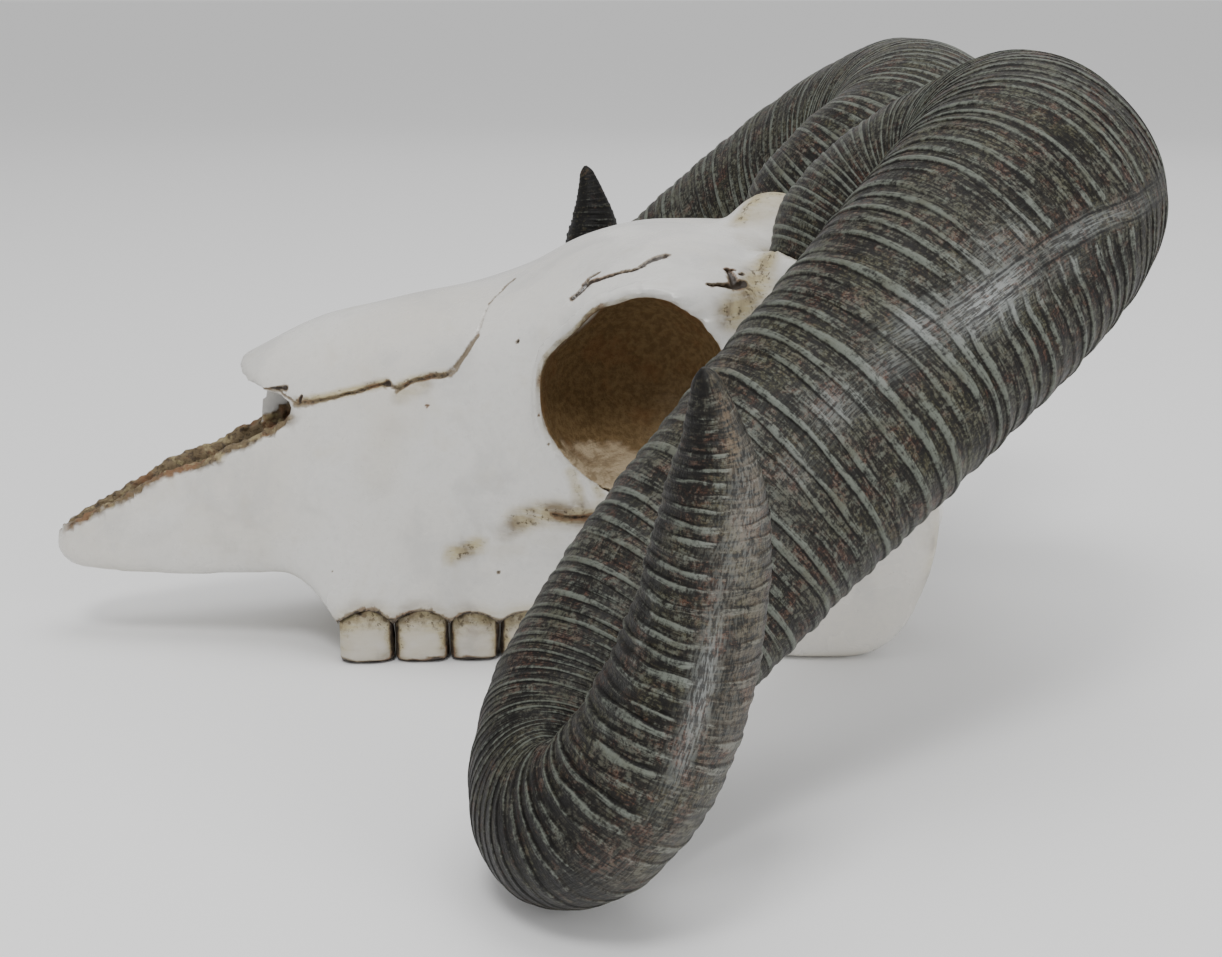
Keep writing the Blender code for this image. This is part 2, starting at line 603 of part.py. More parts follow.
def build_skull(parts, helpers, finish):
    """The whole skull as one body."""
    skull = file_under(skull_core(), parts)
    for side in SIDES:
        combine(skull, orbit_rim(side), "UNION", helpers)
        combine(skull, occipital_lobe(side), "UNION", helpers)
        combine(skull, horn_boss(side), "UNION", helpers)
        arch = tube("zygomatic_arch", [(x, side * y, z) for x, y, z in ARCH_PATH], ARCH_RADIUS)
        combine(skull, arch, "UNION", helpers)
        condyle = ball("condyle", Vector((CONDYLE_CENTRE.x, side * CONDYLE_CENTRE.y, CONDYLE_CENTRE.z)),
                       CONDYLE_RADII, CONDYLE_SIDES, CONDYLE_RINGS)
        combine(skull, condyle, "UNION", helpers)
    combine(skull, tube("nuchal_crest", CREST_PATH, CREST_RADIUS), "UNION", helpers)
    combine(skull, ball("frontal_peak", PEAK_CENTRE, PEAK_RADII), "UNION", helpers)
    for side in SIDES:
        for index in range(TOOTH_COUNT):
            combine(skull, tooth(index, side), "UNION", helpers)
    combine(skull, side_prism("nose_opening", NOSE_OPENING, NOSE_CUT_HALF_WIDTH), "DIFFERENCE", helpers)
    combine(skull, nose_cavity(), "DIFFERENCE", helpers)
    combine(skull, septum(), "UNION", helpers)
    for side in SIDES:
        combine(skull, nose_fissure(side), "DIFFERENCE", helpers)
        combine(skull, orbit_bowl(side), "DIFFERENCE", helpers)
        combine(skull, horn("horn_seat", side, SEAT_GAP, SEAT_GAP), "DIFFERENCE", helpers)
    combine(skull, foramen(), "DIFFERENCE", helpers)
    shade(skull, finish)
    return skull


def main():
    """Clears the scene and builds the skull and its two horns."""
    for old in list(bpy.data.objects):
        bpy.data.objects.remove(old)
    parts = new_collection("ram_skull")
    helpers = new_collection("cutters")
    bone = material("cast_bone", BONE_COLOR, BONE_ROUGHNESS)
    keratin = material("cast_horn", HORN_COLOR, HORN_ROUGHNESS)
    build_skull(parts, helpers, bone)
    for side, name in zip(SIDES, ("horn_left", "horn_right")):
        shade(file_under(horn(name, side), parts), keratin)


main()
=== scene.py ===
"""Looks of a life-size cast ram skull with two curled horns, lying on its teeth and occiput.

Row frame: -X towards the nose, -Y towards the animal's left, +Z up, the surface at Z = 0.
All lengths are in metres.
"""

import functools
import logging
import math
from dataclasses import dataclass
from enum import Enum

import bmesh
import bpy
import numpy as np
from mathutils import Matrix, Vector


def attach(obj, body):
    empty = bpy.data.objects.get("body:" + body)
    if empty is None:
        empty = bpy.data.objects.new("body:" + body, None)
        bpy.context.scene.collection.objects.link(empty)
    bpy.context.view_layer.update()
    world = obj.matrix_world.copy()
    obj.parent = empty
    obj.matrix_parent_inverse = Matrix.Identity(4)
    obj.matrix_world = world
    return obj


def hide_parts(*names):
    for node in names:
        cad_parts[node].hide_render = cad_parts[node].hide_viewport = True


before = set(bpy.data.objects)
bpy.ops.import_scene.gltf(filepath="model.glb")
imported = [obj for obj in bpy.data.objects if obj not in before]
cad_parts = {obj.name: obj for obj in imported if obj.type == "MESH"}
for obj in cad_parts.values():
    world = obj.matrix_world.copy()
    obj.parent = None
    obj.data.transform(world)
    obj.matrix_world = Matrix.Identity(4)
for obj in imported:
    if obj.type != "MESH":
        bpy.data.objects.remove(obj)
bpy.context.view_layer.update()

LOG = logging.getLogger("ram_skull")
MM_PER_M = 1000
FAR = 1.0  # the distance given to corners that aren't near what is measured
GOLDEN_TURN = 2.399  # spreads whole numbers evenly round a circle
Profile = tuple[tuple[float, float], ...]
Color = tuple[float, float, float, float]


# ---------------------------------------------------------------- numbers and curves


class Side(Enum):
    """The two sides of the animal, by the sign of Y."""

    LEFT = -1.0
    RIGHT = 1.0

    def mirror(self) -> np.ndarray:
        """Factors that turn a place on the right side into one on this side."""
        return np.array((1.0, self.value, 1.0))


def ease(low: float, high: float, value: np.ndarray) -> np.ndarray:
    """A smooth step from 0 at low to 1 at high."""
    u = np.clip((value - low) / (high - low), 0.0, 1.0)
    return u * u * (3.0 - 2.0 * u)


def band(value: np.ndarray, start: float, full: float, fade: float, end: float) -> np.ndarray:
    """1 from full to fade, with smooth steps to 0 at start and end."""
    return ease(start, full, value) * ease(end, fade, value)


def bell(value: np.ndarray, middle: float, reach: float) -> np.ndarray:
    """A soft hump of height 1 round a middle."""
    return np.exp(-(((value - middle) / reach) ** 2))


def greatest(*values: np.ndarray) -> np.ndarray:
    """The greatest of several values at each place."""
    return functools.reduce(np.maximum, values)


def waves(seed: int, count: int, reach: int, *axes: np.ndarray) -> np.ndarray:
    """Smooth noise of about unit size, periodic over 2 pi in each axis.

    Args:
        seed: picks the waves.
        count: how many waves are summed.
        reach: the highest whole frequency.
        axes: arrays of angles, all of one shape.
    Returns:
        The noise at each position.
    """
    draw = np.random.default_rng(seed)
    total = np.zeros(np.broadcast(*axes).shape)
    for _ in range(count):
        turn = draw.uniform(0, 2 * math.pi)
        angle = sum(draw.integers(-reach, reach + 1) * axis for axis in axes)
        total = total + np.sin(angle + turn)
    return total * math.sqrt(2.0 / count)


def mottle(seed: int, count: int, reach: int, points: np.ndarray, fineness: float) -> np.ndarray:
    """Smooth noise at places in space, as waves gives it for angles."""
    return waves(seed, count, reach, *(points.T * fineness))


def smooth_curve(knots: Profile, at: np.ndarray) -> np.ndarray:
    """Values of the smooth curve through (position, value) knots.

    Args:
        knots: positions in rising order, each with its value.
        at: where the curve is read.
    Returns:
        One value for each position.
    """
    place, value = np.array(knots).T
    step = np.diff(place)
    rise = np.diff(value) / step
    inner = (rise[:-1] * step[1:] + rise[1:] * step[:-1]) / (step[:-1] + step[1:])
    slope = np.concatenate([rise[:1], inner, rise[-1:]])
    i = np.clip(np.searchsorted(place, at) - 1, 0, len(step) - 1)
    u = np.clip((at - place[i]) / step[i], 0.0, 1.0)
    low = (1 + 2 * u) * (1 - u) ** 2 * value[i] + u * (1 - u) ** 2 * step[i] * slope[i]
    high = u * u * (3 - 2 * u) * value[i + 1] - u * u * (1 - u) * step[i] * slope[i + 1]
    return low + high


def read_table(table: tuple, at: np.ndarray) -> list[np.ndarray]:
    """Smooth curves through a table's columns against its first, each read at these places."""
    first, *rest = np.array(table).T
    return [smooth_curve(np.stack([first, column], 1), at) for column in rest]


def b_spline(points: np.ndarray, degree: int, at: np.ndarray) -> np.ndarray:
    """Points of a clamped uniform B-spline.

    Args:
        points: control points, one a row.
        degree: of the curve.
        at: positions from 0 to 1.
    Returns:
        One row for each position.
    """
    count = len(points)
    inner = np.linspace(0.0, 1.0, count - degree + 1)
    knots = np.concatenate([np.zeros(degree), inner, np.ones(degree)])
    at = np.clip(at, 0.0, 1.0 - 1e-9)[:, None]
    weights = ((knots[:-1] <= at) & (at < knots[1:])).astype(float)
    for order in range(1, degree + 1):
        left = knots[order:-1] - knots[: -order - 1]
        right = knots[order + 1 :] - knots[1:-order]
        grow = np.where(left > 0, (at - knots[: -order - 1]) / np.where(left > 0, left, 1), 0)
        fade = np.where(right > 0, (knots[order + 1 :] - at) / np.where(right > 0, right, 1), 0)
        weights = grow * weights[:, :-1] + fade * weights[:, 1:]
    return weights @ points


def to_path(points: np.ndarray, path: np.ndarray) -> tuple[np.ndarray, np.ndarray]:
    """Distance of each point to a path of straight stretches.

    Args:
        points: one a row.
        path: corners of the path, one a row.
    Returns:
        The distance, and how far along the path the nearest place is, from 0 to 1.
    """
    ends = np.diff(path, axis=0)
    lengths = np.linalg.norm(ends, axis=1)
    before = np.concatenate([[0.0], np.cumsum(lengths)])
    best = np.full(len(points), 1e9)
    along = np.zeros(len(points))
    for start, end, length, passed in zip(path[:-1], ends, lengths, before):
        u = np.clip((points - start) @ end / max(length * length, 1e-12), 0.0, 1.0)
        distance = np.linalg.norm(points - start - u[:, None] * end, axis=1)
        nearer = distance < best
        best = np.where(nearer, distance, best)
        along = np.where(nearer, (passed + u * length) / before[-1], along)
    return best, along


def near_path(points: np.ndarray, path: np.ndarray, margin: float) -> np.ndarray:
    """Numbers of the points in the box round a path, widened by a margin."""
    inside = (points > path.min(0) - margin) & (points < path.max(0) + margin)
    return np.nonzero(inside.all(1))[0]


# ---------------------------------------------------------------- meshes


def deselect() -> None:
    """Leaves nothing selected."""
    bpy.ops.object.select_all(action="DESELECT")


def take(shape: bpy.types.Object) -> None:
    """Makes one object the selected and active one."""
    deselect()
    shape.select_set(True)
    bpy.context.view_layer.objects.active = shape


def mesh_object(name: str, points: np.ndarray, faces: list) -> bpy.types.Object:
    """A new mesh object in the scene, at the origin.

    Args:
        name: of the object and its mesh.
        points: corners, one a row.
        faces: each the numbers of its corners.
    Returns:
        The object.
    """
    mesh = bpy.data.meshes.new(name)
    mesh.from_pydata([tuple(p) for p in points], [], faces)
    mesh.update()
    shape = bpy.data.objects.new(name, mesh)
    bpy.context.scene.collection.objects.link(shape)
    return shape


def loft(name: str, rings: np.ndarray) -> bpy.types.Object:
    """A closed shape through rings of equally many points, capped at both ends.

    Args:
        name: of the object.
        rings: array of ring, point and coordinate.
    Returns:
        The object, with its faces turned outwards.
    """
    rows, count = rings.shape[:2]
    index = np.arange(rows * count).reshape(rows, count)
    ahead = np.roll(index, -1, axis=1)
    quads = np.stack([index[:-1], ahead[:-1], ahead[1:], index[1:]], -1).reshape(-1, 4)
    caps = rings[[0, -1]].mean(axis=1)
    points = np.concatenate([rings.reshape(-1, 3), caps])
    first = [(a, b, rows * count) for b, a in zip(index[0], ahead[0])]
    last = [(a, b, rows * count + 1) for a, b in zip(index[-1], ahead[-1])]
    shape = mesh_object(name, points, quads.tolist() + first + last)
    face_out(shape)
    return shape


def face_out(shape: bpy.types.Object) -> None:
    """Turns the faces of a closed mesh outwards."""
    body = bmesh.new()
    body.from_mesh(shape.data)
    bmesh.ops.recalc_face_normals(body, faces=body.faces)
    body.to_mesh(shape.data)
    body.free()


def apply(shape: bpy.types.Object, kind: str, **settings: object) -> None:
    """Adds a modifier and applies it.

    Args:
        shape: the object.
        kind: type of the modifier.
        settings: of the modifier, by name.
    """
    take(shape)
    modifier = shape.modifiers.new(kind.lower(), kind)
    for key, value in settings.items():
        setattr(modifier, key, value)
    bpy.ops.object.modifier_apply(modifier=modifier.name)


def cut(shape: bpy.types.Object, cutter: bpy.types.Object, operation: str = "DIFFERENCE") -> None:
    """Joins or cuts a shape with another, which is then removed."""
    apply(shape, "BOOLEAN", operation=operation, object=cutter, solver="MANIFOLD")
    bpy.data.objects.remove(cutter)


def join(shapes: list[bpy.types.Object]) -> bpy.types.Object:
    """Joins the meshes of these objects into the first one and returns it."""
    take(shapes[0])
    for shape in shapes[1:]:
        shape.select_set(True)
    bpy.ops.object.join()
    return shapes[0]


def coordinates(shape: bpy.types.Object) -> np.ndarray:
    """The place of each corner of a mesh, one a row."""
    points = np.empty(len(shape.data.vertices) * 3)
    shape.data.vertices.foreach_get("co", points)
    return points.reshape(-1, 3)


def normals(shape: bpy.types.Object) -> np.ndarray:
    """The outward direction at each corner of a mesh, one a row."""
    found = np.empty(len(shape.data.vertices) * 3)
    shape.data.vertex_normals.foreach_get("vector", found)
    return found.reshape(-1, 3)


def move_to(shape: bpy.types.Object, points: np.ndarray) -> None:
    """Puts the corners of a mesh at these places."""
    shape.data.vertices.foreach_set("co", points.ravel())
    shape.data.update()


def paint(shape: bpy.types.Object, **values: np.ndarray) -> None:
    """Stores a number at each corner under each of these names, for the finishes to read."""
    for name, value in values.items():
        layer = shape.data.attributes.new(name, "FLOAT", "POINT")
        layer.data.foreach_set("value", value.astype(np.float32))


def refine(shape: bpy.types.Object, near: np.ndarray) -> None:
    """Divides the faces that touch the chosen corners once.

    Args:
        shape: the object that holds the mesh.
        near: whether each corner is chosen.
    """
    body = bmesh.new()
    body.from_mesh(shape.data)
    body.verts.ensure_lookup_table()
    chosen = {body.verts[i] for i in np.nonzero(near)[0]}
    edges = {e for v in chosen for f in v.link_faces for e in f.edges}
    bmesh.ops.subdivide_edges(body, edges=list(edges), cuts=1, use_grid_fill=True, smooth=0.0)
    body.to_mesh(shape.data)
    body.free()
    shape.data.update()


def dress(shape: bpy.types.Object, finish: bpy.types.Material) -> None:
    """Gives a smooth piece its finish."""
    shape.data.materials.append(finish)
    take(shape)
    bpy.ops.object.shade_smooth()


# ---------------------------------------------------------------- finishes


Socket = bpy.types.NodeSocket
Input = Socket | float | tuple


class Nodes:
    """Builds the node tree of one material, ending in a Principled shader."""

    def __init__(self, name: str) -> None:
        """Makes an empty material of this name."""
        self.material = bpy.data.materials.new(name)
        self.material.use_nodes = True
        self.tree = self.material.node_tree
        self.shader = self.tree.nodes["Principled BSDF"]

    def put(self, socket: Socket, value: Input) -> None:
        """Links a socket to another, or sets its number or colour."""
        if isinstance(value, Socket):
            self.tree.links.new(value, socket)
        else:
            socket.default_value = value

    def fill(self, node: bpy.types.Node, inputs: dict[str, Input]) -> bpy.types.Node:
        """Sets or links inputs of a node by name, with _ for a space, and returns the node."""
        for key, value in inputs.items():
            self.put(node.inputs[key.replace("_", " ")], value)
        return node

    def add(self, kind: str, **inputs: Input) -> bpy.types.Node:
        """A new node of this kind with these inputs."""
        return self.fill(self.tree.nodes.new(f"ShaderNode{kind}"), inputs)

    def surface(self, **inputs: Input) -> bpy.types.Material:
        """Gives the shader its inputs and returns the material."""
        self.fill(self.shader, inputs)
        return self.material

    def place(self) -> Socket:
        """Position on the piece, in metres."""
        return self.add("TexCoord").outputs["Object"]

    def stored(self, name: str) -> Socket:
        """A number stored on the mesh under this name."""
        node = self.add("Attribute")
        node.attribute_name = name
        return node.outputs["Fac"]

    def combine(self, x: Input, y: Input, z: Input) -> Socket:
        """A vector of three numbers."""
        return self.add("CombineXYZ", X=x, Y=y, Z=z).outputs[0]

    def scaled(self, vector: Socket, scale: tuple) -> Socket:
        """A vector scaled along its axes."""
        return self.add("Mapping", Vector=vector, Scale=scale).outputs[0]

    def noise(self, vector: Socket, scale: float, detail: float = 3.0, rough: float = 0.55,
              twist: float = 0.0) -> Socket:
        """Fractal noise from 0 to 1, at this many waves a metre."""
        node = self.add("TexNoise", Vector=vector, Scale=scale, Detail=detail, Roughness=rough,
                        Distortion=twist)
        return node.outputs["Fac"]

    def math(self, kind: str, a: Input, b: Input = 0.0) -> Socket:
        """One arithmetic step.

        Args:
            kind: of step.
            a: first number.
            b: second number, where the step has one.
        Returns:
            The result.
        """
        node = self.add("Math")
        node.operation = kind
        for socket, value in zip(node.inputs, (a, b)):
            self.put(socket, value)
        return node.outputs[0]

    def times(self, a: Input, b: Input) -> Socket:
        """The product of two numbers."""
        return self.math("MULTIPLY", a, b)

    def plus(self, a: Input, b: Input) -> Socket:
        """The sum of two numbers."""
        return self.math("ADD", a, b)

    def more(self, a: Input, b: Input) -> Socket:
        """The greater of two numbers."""
        return self.math("MAXIMUM", a, b)

    def swing(self, pattern: Socket, strength: float) -> Socket:
        """A pattern about its middle value of a half, made stronger or weaker."""
        return self.times(self.math("SUBTRACT", pattern, 0.5), strength)

    def spread(self, value: Socket, low: float, high: float, to_low: float = 0.0,
               to_high: float = 1.0) -> Socket:
        """A smooth step of a number from one range to another."""
        node = self.add("MapRange", Value=value, From_Min=low, From_Max=high, To_Min=to_low, To_Max=to_high)
        node.interpolation_type = "SMOOTHSTEP"
        return node.outputs["Result"]

    def mix(self, share: Input, first: Input, second: Input) -> Socket:
        """A blend of two colours.

        Args:
            share: of the second colour.
            first: one colour.
            second: the other colour.
        Returns:
            The blend.
        """
        node = self.add("Mix")
        node.data_type = "RGBA"
        for number, value in ((0, share), (6, first), (7, second)):
            self.put(node.inputs[number], value)
        return node.outputs[2]

    def layered(self, ground: Input, layers: tuple) -> Input:
        """Colours laid on a ground, each given as its pattern, the four numbers of its step and itself."""
        for pattern, step, color in layers:
            ground = self.mix(self.spread(pattern, *step), ground, color)
        return ground

    def bumps(self, layers: tuple) -> Socket:
        """A fine relief of several layers.

        Args:
            layers: for each, its height pattern, strength and distance in metres.
        Returns:
            The bent outward direction.
        """
        relief = None
        for height, strength, distance in layers:
            node = self.add("Bump", Strength=strength, Distance=distance, Height=height)
            if relief is not None:
                self.put(node.inputs["Normal"], relief)
            relief = node.outputs[0]
        return relief


@dataclass(frozen=True)
class HornFinish:
    """Charcoal paint with dry-brushed grey-green ridges and rusty specks between them."""

    name: str = "painted_horn"
    dark: Color = (0.0060, 0.0054, 0.0050, 1.0)
    ground: Color = (0.048, 0.041, 0.029, 1.0)
    rust: Color = (0.092, 0.042, 0.027, 1.0)
    olive: Color = (0.066, 0.062, 0.034, 1.0)
    brushed: Color = (0.124, 0.136, 0.114, 1.0)
    # pale paint of the scuffs, partly painted highlights
    pale: Color = (0.270, 0.285, 0.285, 1.0)
    tan: Color = (0.150, 0.106, 0.066, 1.0)
    # waves a metre along the horn and round it, and the detail of the noise
    hatch: tuple = (240.0, 2000.0, 3.0)
    threads: tuple = (1500.0, 110.0, 3.0)
    fibre_roughness: float = 0.62
    border_from_seam: float = 0.0029
    border_wander: float = 0.0012
    border_edge: tuple = (0.00055, 0.00015)

    def fibres(self, n: Nodes, lengthwise: float, round_it: float, detail: float) -> Socket:
        """Noise with this many waves a metre along the horn and round it."""
        scales = (("along", lengthwise), ("keelward", round_it), ("sideward", round_it))
        axes = [n.times(n.stored(name), scale) for name, scale in scales]
        return n.noise(n.combine(*axes), 1.0, detail, self.fibre_roughness)

    def borders(self, n: Nodes, patches: Socket) -> Socket:
        """The dark lines on both sides of the seam strip, which a pattern makes wander."""
        aside = n.plus(n.math("ABSOLUTE", n.stored("sideward")), n.swing(patches, self.border_wander))
        edge = n.math("ABSOLUTE", n.math("SUBTRACT", aside, self.border_from_seam))
        return n.times(n.spread(edge, *self.border_edge), n.stored("strip"))

    def material(self) -> bpy.types.Material:
        """The finish as a material that reads the ridges stored on a horn.

        Returns:
            The material.
        """
        n = Nodes(self.name)
        here = n.place()
        # the scuffs: pale scuffed wear, partly painted highlights on the seam strip and the lit side of the
        # curl
        ridge, groove, scuff_and_highlight = n.stored("ridge"), n.stored("groove"), n.stored("scuff_and_highlight")
        # shade: painted shade under the curl, along the crease beside the tip and at set spots, with the
        # darker tip ends
        shade, tan = n.stored("shade"), n.stored("tan")
        hatch, threads = self.fibres(n, *self.hatch), self.fibres(n, *self.threads)
        patches = n.noise(here, 90.0, 4.0, 0.62, 0.4)
        grain = n.noise(here, 430.0, 4.0, 0.72, 0.2)
        speck = n.noise(here, 980.0, 3.0, 0.75)
        base = n.layered(self.dark, (
            (patches, (0.34, 0.58, 0.25, 1.0), self.ground),
            (n.noise(here, 130.0, 5.0, 0.72, 0.6), (0.50, 0.60, 0.0, 0.90), self.rust),
            (n.noise(here, 80.0, 4.0, 0.68, 0.3), (0.48, 0.62, 0.0, 0.80), self.olive),
            (speck, (0.56, 0.43, 0.0, 0.85), self.dark),
            (threads, (0.50, 0.40, 0.0, 0.80), self.dark),
            (grain, (0.50, 0.40, 0.0, 0.60), self.dark),
        ))
        worn = n.swing(grain, 1.7)
        for pattern, strength in ((speck, 1.3), (threads, 1.5), (hatch, 0.7)):
            worn = n.plus(worn, n.swing(pattern, strength))
        # less dry-brush where the painted shade lies
        raised = n.plus(ridge, n.math("SUBTRACT", worn, n.times(shade, 0.25)))
        cover = n.spread(raised, 0.28, 1.08, 0.0, 0.95)
        flecks = n.spread(n.plus(worn, n.times(patches, 0.9)), 0.40, 0.90, 0.0, 0.55)
        # fewer pale flecks in the painted shade
        cover = n.more(cover, n.times(flecks, n.math("SUBTRACT", 1.0, n.times(shade, 0.75))))
        scratched = n.spread(n.plus(hatch, n.times(worn, 0.10)), 0.42, 0.60, 0.10, 0.95)
        cover = n.more(cover, n.times(scuff_and_highlight, scratched))
        brushed = n.mix(n.spread(patches, 0.48, 0.66, 0.0, 0.45), self.brushed, self.olive)
        # pale paint on the scuffs, partly painted highlights
        brushed = n.mix(n.times(scuff_and_highlight, 0.75), brushed, self.pale)
        lines = n.more(groove, self.borders(n, patches))
        color = n.mix(cover, base, brushed)
        color = n.mix(n.times(lines, n.spread(grain, 0.62, 0.44, 0.60, 0.97)), color, self.dark)
        color = n.mix(n.times(tan, n.spread(worn, -0.35, 0.30, 0.0, 0.9)), color, self.tan)
        # painted shade, and the darker tip ends, laid over the colour
        color = n.mix(n.times(shade, n.spread(worn, 0.55, -0.15, 0.15, 0.90)), color, self.dark)
        relief = n.bumps(((threads, 0.45, 0.0004), (hatch, 0.25, 0.0003), (grain, 0.60, 0.0005),
                          (speck, 0.35, 0.0002)))
        rough = n.spread(grain, 0.35, 0.65, 0.40, 0.58)
        return n.surface(Base_Color=color, Roughness=rough, Normal=relief, Metallic=0.0,
                         Specular_IOR_Level=n.spread(scuff_and_highlight, 0.0, 1.0, 0.16, 0.50))


@dataclass(frozen=True)
class BoneFinish:
    """Glossy off-white resin with a brown wash in the cracks, hollows and broken edges."""

    name: str = "painted_bone"
    cool: Color = (0.658, 0.648, 0.618, 1.0)
    warm: Color = (0.600, 0.566, 0.505, 1.0)
    yellow: Color = (0.400, 0.335, 0.175, 1.0)
    brown: Color = (0.150, 0.108, 0.056, 1.0)
    dark: Color = (0.024, 0.014, 0.007, 1.0)
    rust: Color = (0.200, 0.085, 0.035, 1.0)
    hollow: Color = (0.225, 0.150, 0.072, 1.0)
    deep: Color = (0.140, 0.090, 0.040, 1.0)
    tan: Color = (0.560, 0.455, 0.310, 1.0)
    grey: Color = (0.520, 0.512, 0.490, 1.0)
    peat: Color = (0.060, 0.040, 0.022, 1.0)
    streak_scale: tuple = (0.30, 0.30, 1.6)

    def material(self) -> bpy.types.Material:
        """The finish as a material that reads what is stored on the skull and the teeth.

        Returns:
            The material.
        """
        n = Nodes(self.name)
        here = n.place()
        patch = n.noise(here, 70.0, 4.0, 0.6, 0.3)
        fine = n.noise(here, 520.0, 4.0, 0.7)
        streaks = n.noise(n.scaled(here, self.streak_scale), 380.0, 4.0, 0.7)
        color = n.layered(self.cool, (
            (n.noise(here, 16.0, 3.0, 0.5), (0.42, 0.64, 0.0, 0.60), self.warm),
            (n.noise(here, 42.0, 4.0, 0.65, 0.5), (0.46, 0.66, 0.0, 0.62), self.grey),
            (fine, (0.46, 0.66, 0.0, 0.22), self.grey),
            (patch, (0.54, 0.74, 0.0, 0.14), self.yellow),
            (n.noise(here, 1400.0, 2.0, 0.6), (0.68, 0.78, 0.0, 0.30), self.brown),
        ))
        color = self.stained(n, color, here, patch, streaks)
        raw, hollow = n.stored("raw"), n.stored("hollow")
        broken_bone = n.layered(n.mix(n.spread(fine, 0.36, 0.52), self.peat, self.brown), (
            (patch, (0.50, 0.62, 0.0, 0.55), self.rust),
            (n.noise(here, 210.0, 3.0, 0.6), (0.52, 0.66, 0.0, 0.60), self.yellow),
        ))
        color = n.mix(raw, color, broken_bone)
        inside = n.mix(n.spread(fine, 0.35, 0.65), self.hollow, self.deep)
        inside = n.mix(n.times(n.spread(patch, 0.50, 0.66), 0.30), inside, self.rust)
        floor = n.times(n.stored("tan"), n.spread(streaks, 0.38, 0.58, 0.40, 1.0))
        inside = n.mix(n.times(floor, n.spread(patch, 0.60, 0.46, 0.45, 1.0)), inside, self.tan)
        color = n.mix(hollow, color, inside)
        line = n.stored("antique")
        broken = n.plus(line, n.swing(fine, 0.9))
        line_wash = n.times(n.spread(broken, 0.12, 0.60), n.spread(line, 0.0, 0.12))
        line_color = n.mix(n.spread(patch, 0.52, 0.62, 0.0, 0.5), self.brown, self.rust)
        color = n.mix(n.times(line_wash, 0.88), color, line_color)
        color = n.mix(n.spread(broken, 0.66, 0.96), color, self.dark)
        coarse = n.more(raw, hollow)
        relief = n.bumps(((n.noise(here, 36.0, 2.0, 0.5), 0.60, 0.0018),
                          (n.noise(here, 150.0, 3.0, 0.6), 0.25, 0.0005),
                          (n.times(fine, n.plus(coarse, 0.05)), 0.9, 0.0009)))
        dull = n.times(n.more(coarse, n.stored("stain")), 0.5)
        return n.surface(Base_Color=color, Normal=relief, Metallic=0.0,
                         Roughness=n.plus(n.spread(patch, 0.3, 0.7, 0.20, 0.32), dull),
                         Specular_IOR_Level=n.spread(hollow, 0.0, 1.0, 0.5, 0.15))

    def stained(self, n: Nodes, color: Socket, here: Socket, patch: Socket, streaks: Socket) -> Socket:
        """The bone's colour with its brown stains.

        Args:
            n: the material's nodes.
            color: of the clean bone.
            here: position on the piece.
            patch: the pattern that turns the stains from yellow to brown.
            streaks: the pattern that breaks them up.
        Returns:
            The stained colour.
        """
        stain = n.stored("stain")
        soak = n.spread(n.plus(streaks, n.times(patch, 0.5)), 0.52, 0.95, 0.64, 1.15)
        cover = n.math("MINIMUM", n.times(stain, soak), 0.92)
        color = n.mix(cover, color, n.mix(n.spread(patch, 0.47, 0.67), self.yellow, self.brown))
        dots = n.times(n.spread(n.noise(here, 560.0, 3.0, 0.7), 0.55, 0.63), n.spread(stain, 0.45, 0.85))
        return n.mix(n.times(dots, 0.80), color, self.peat)


# ---------------------------------------------------------------- horns


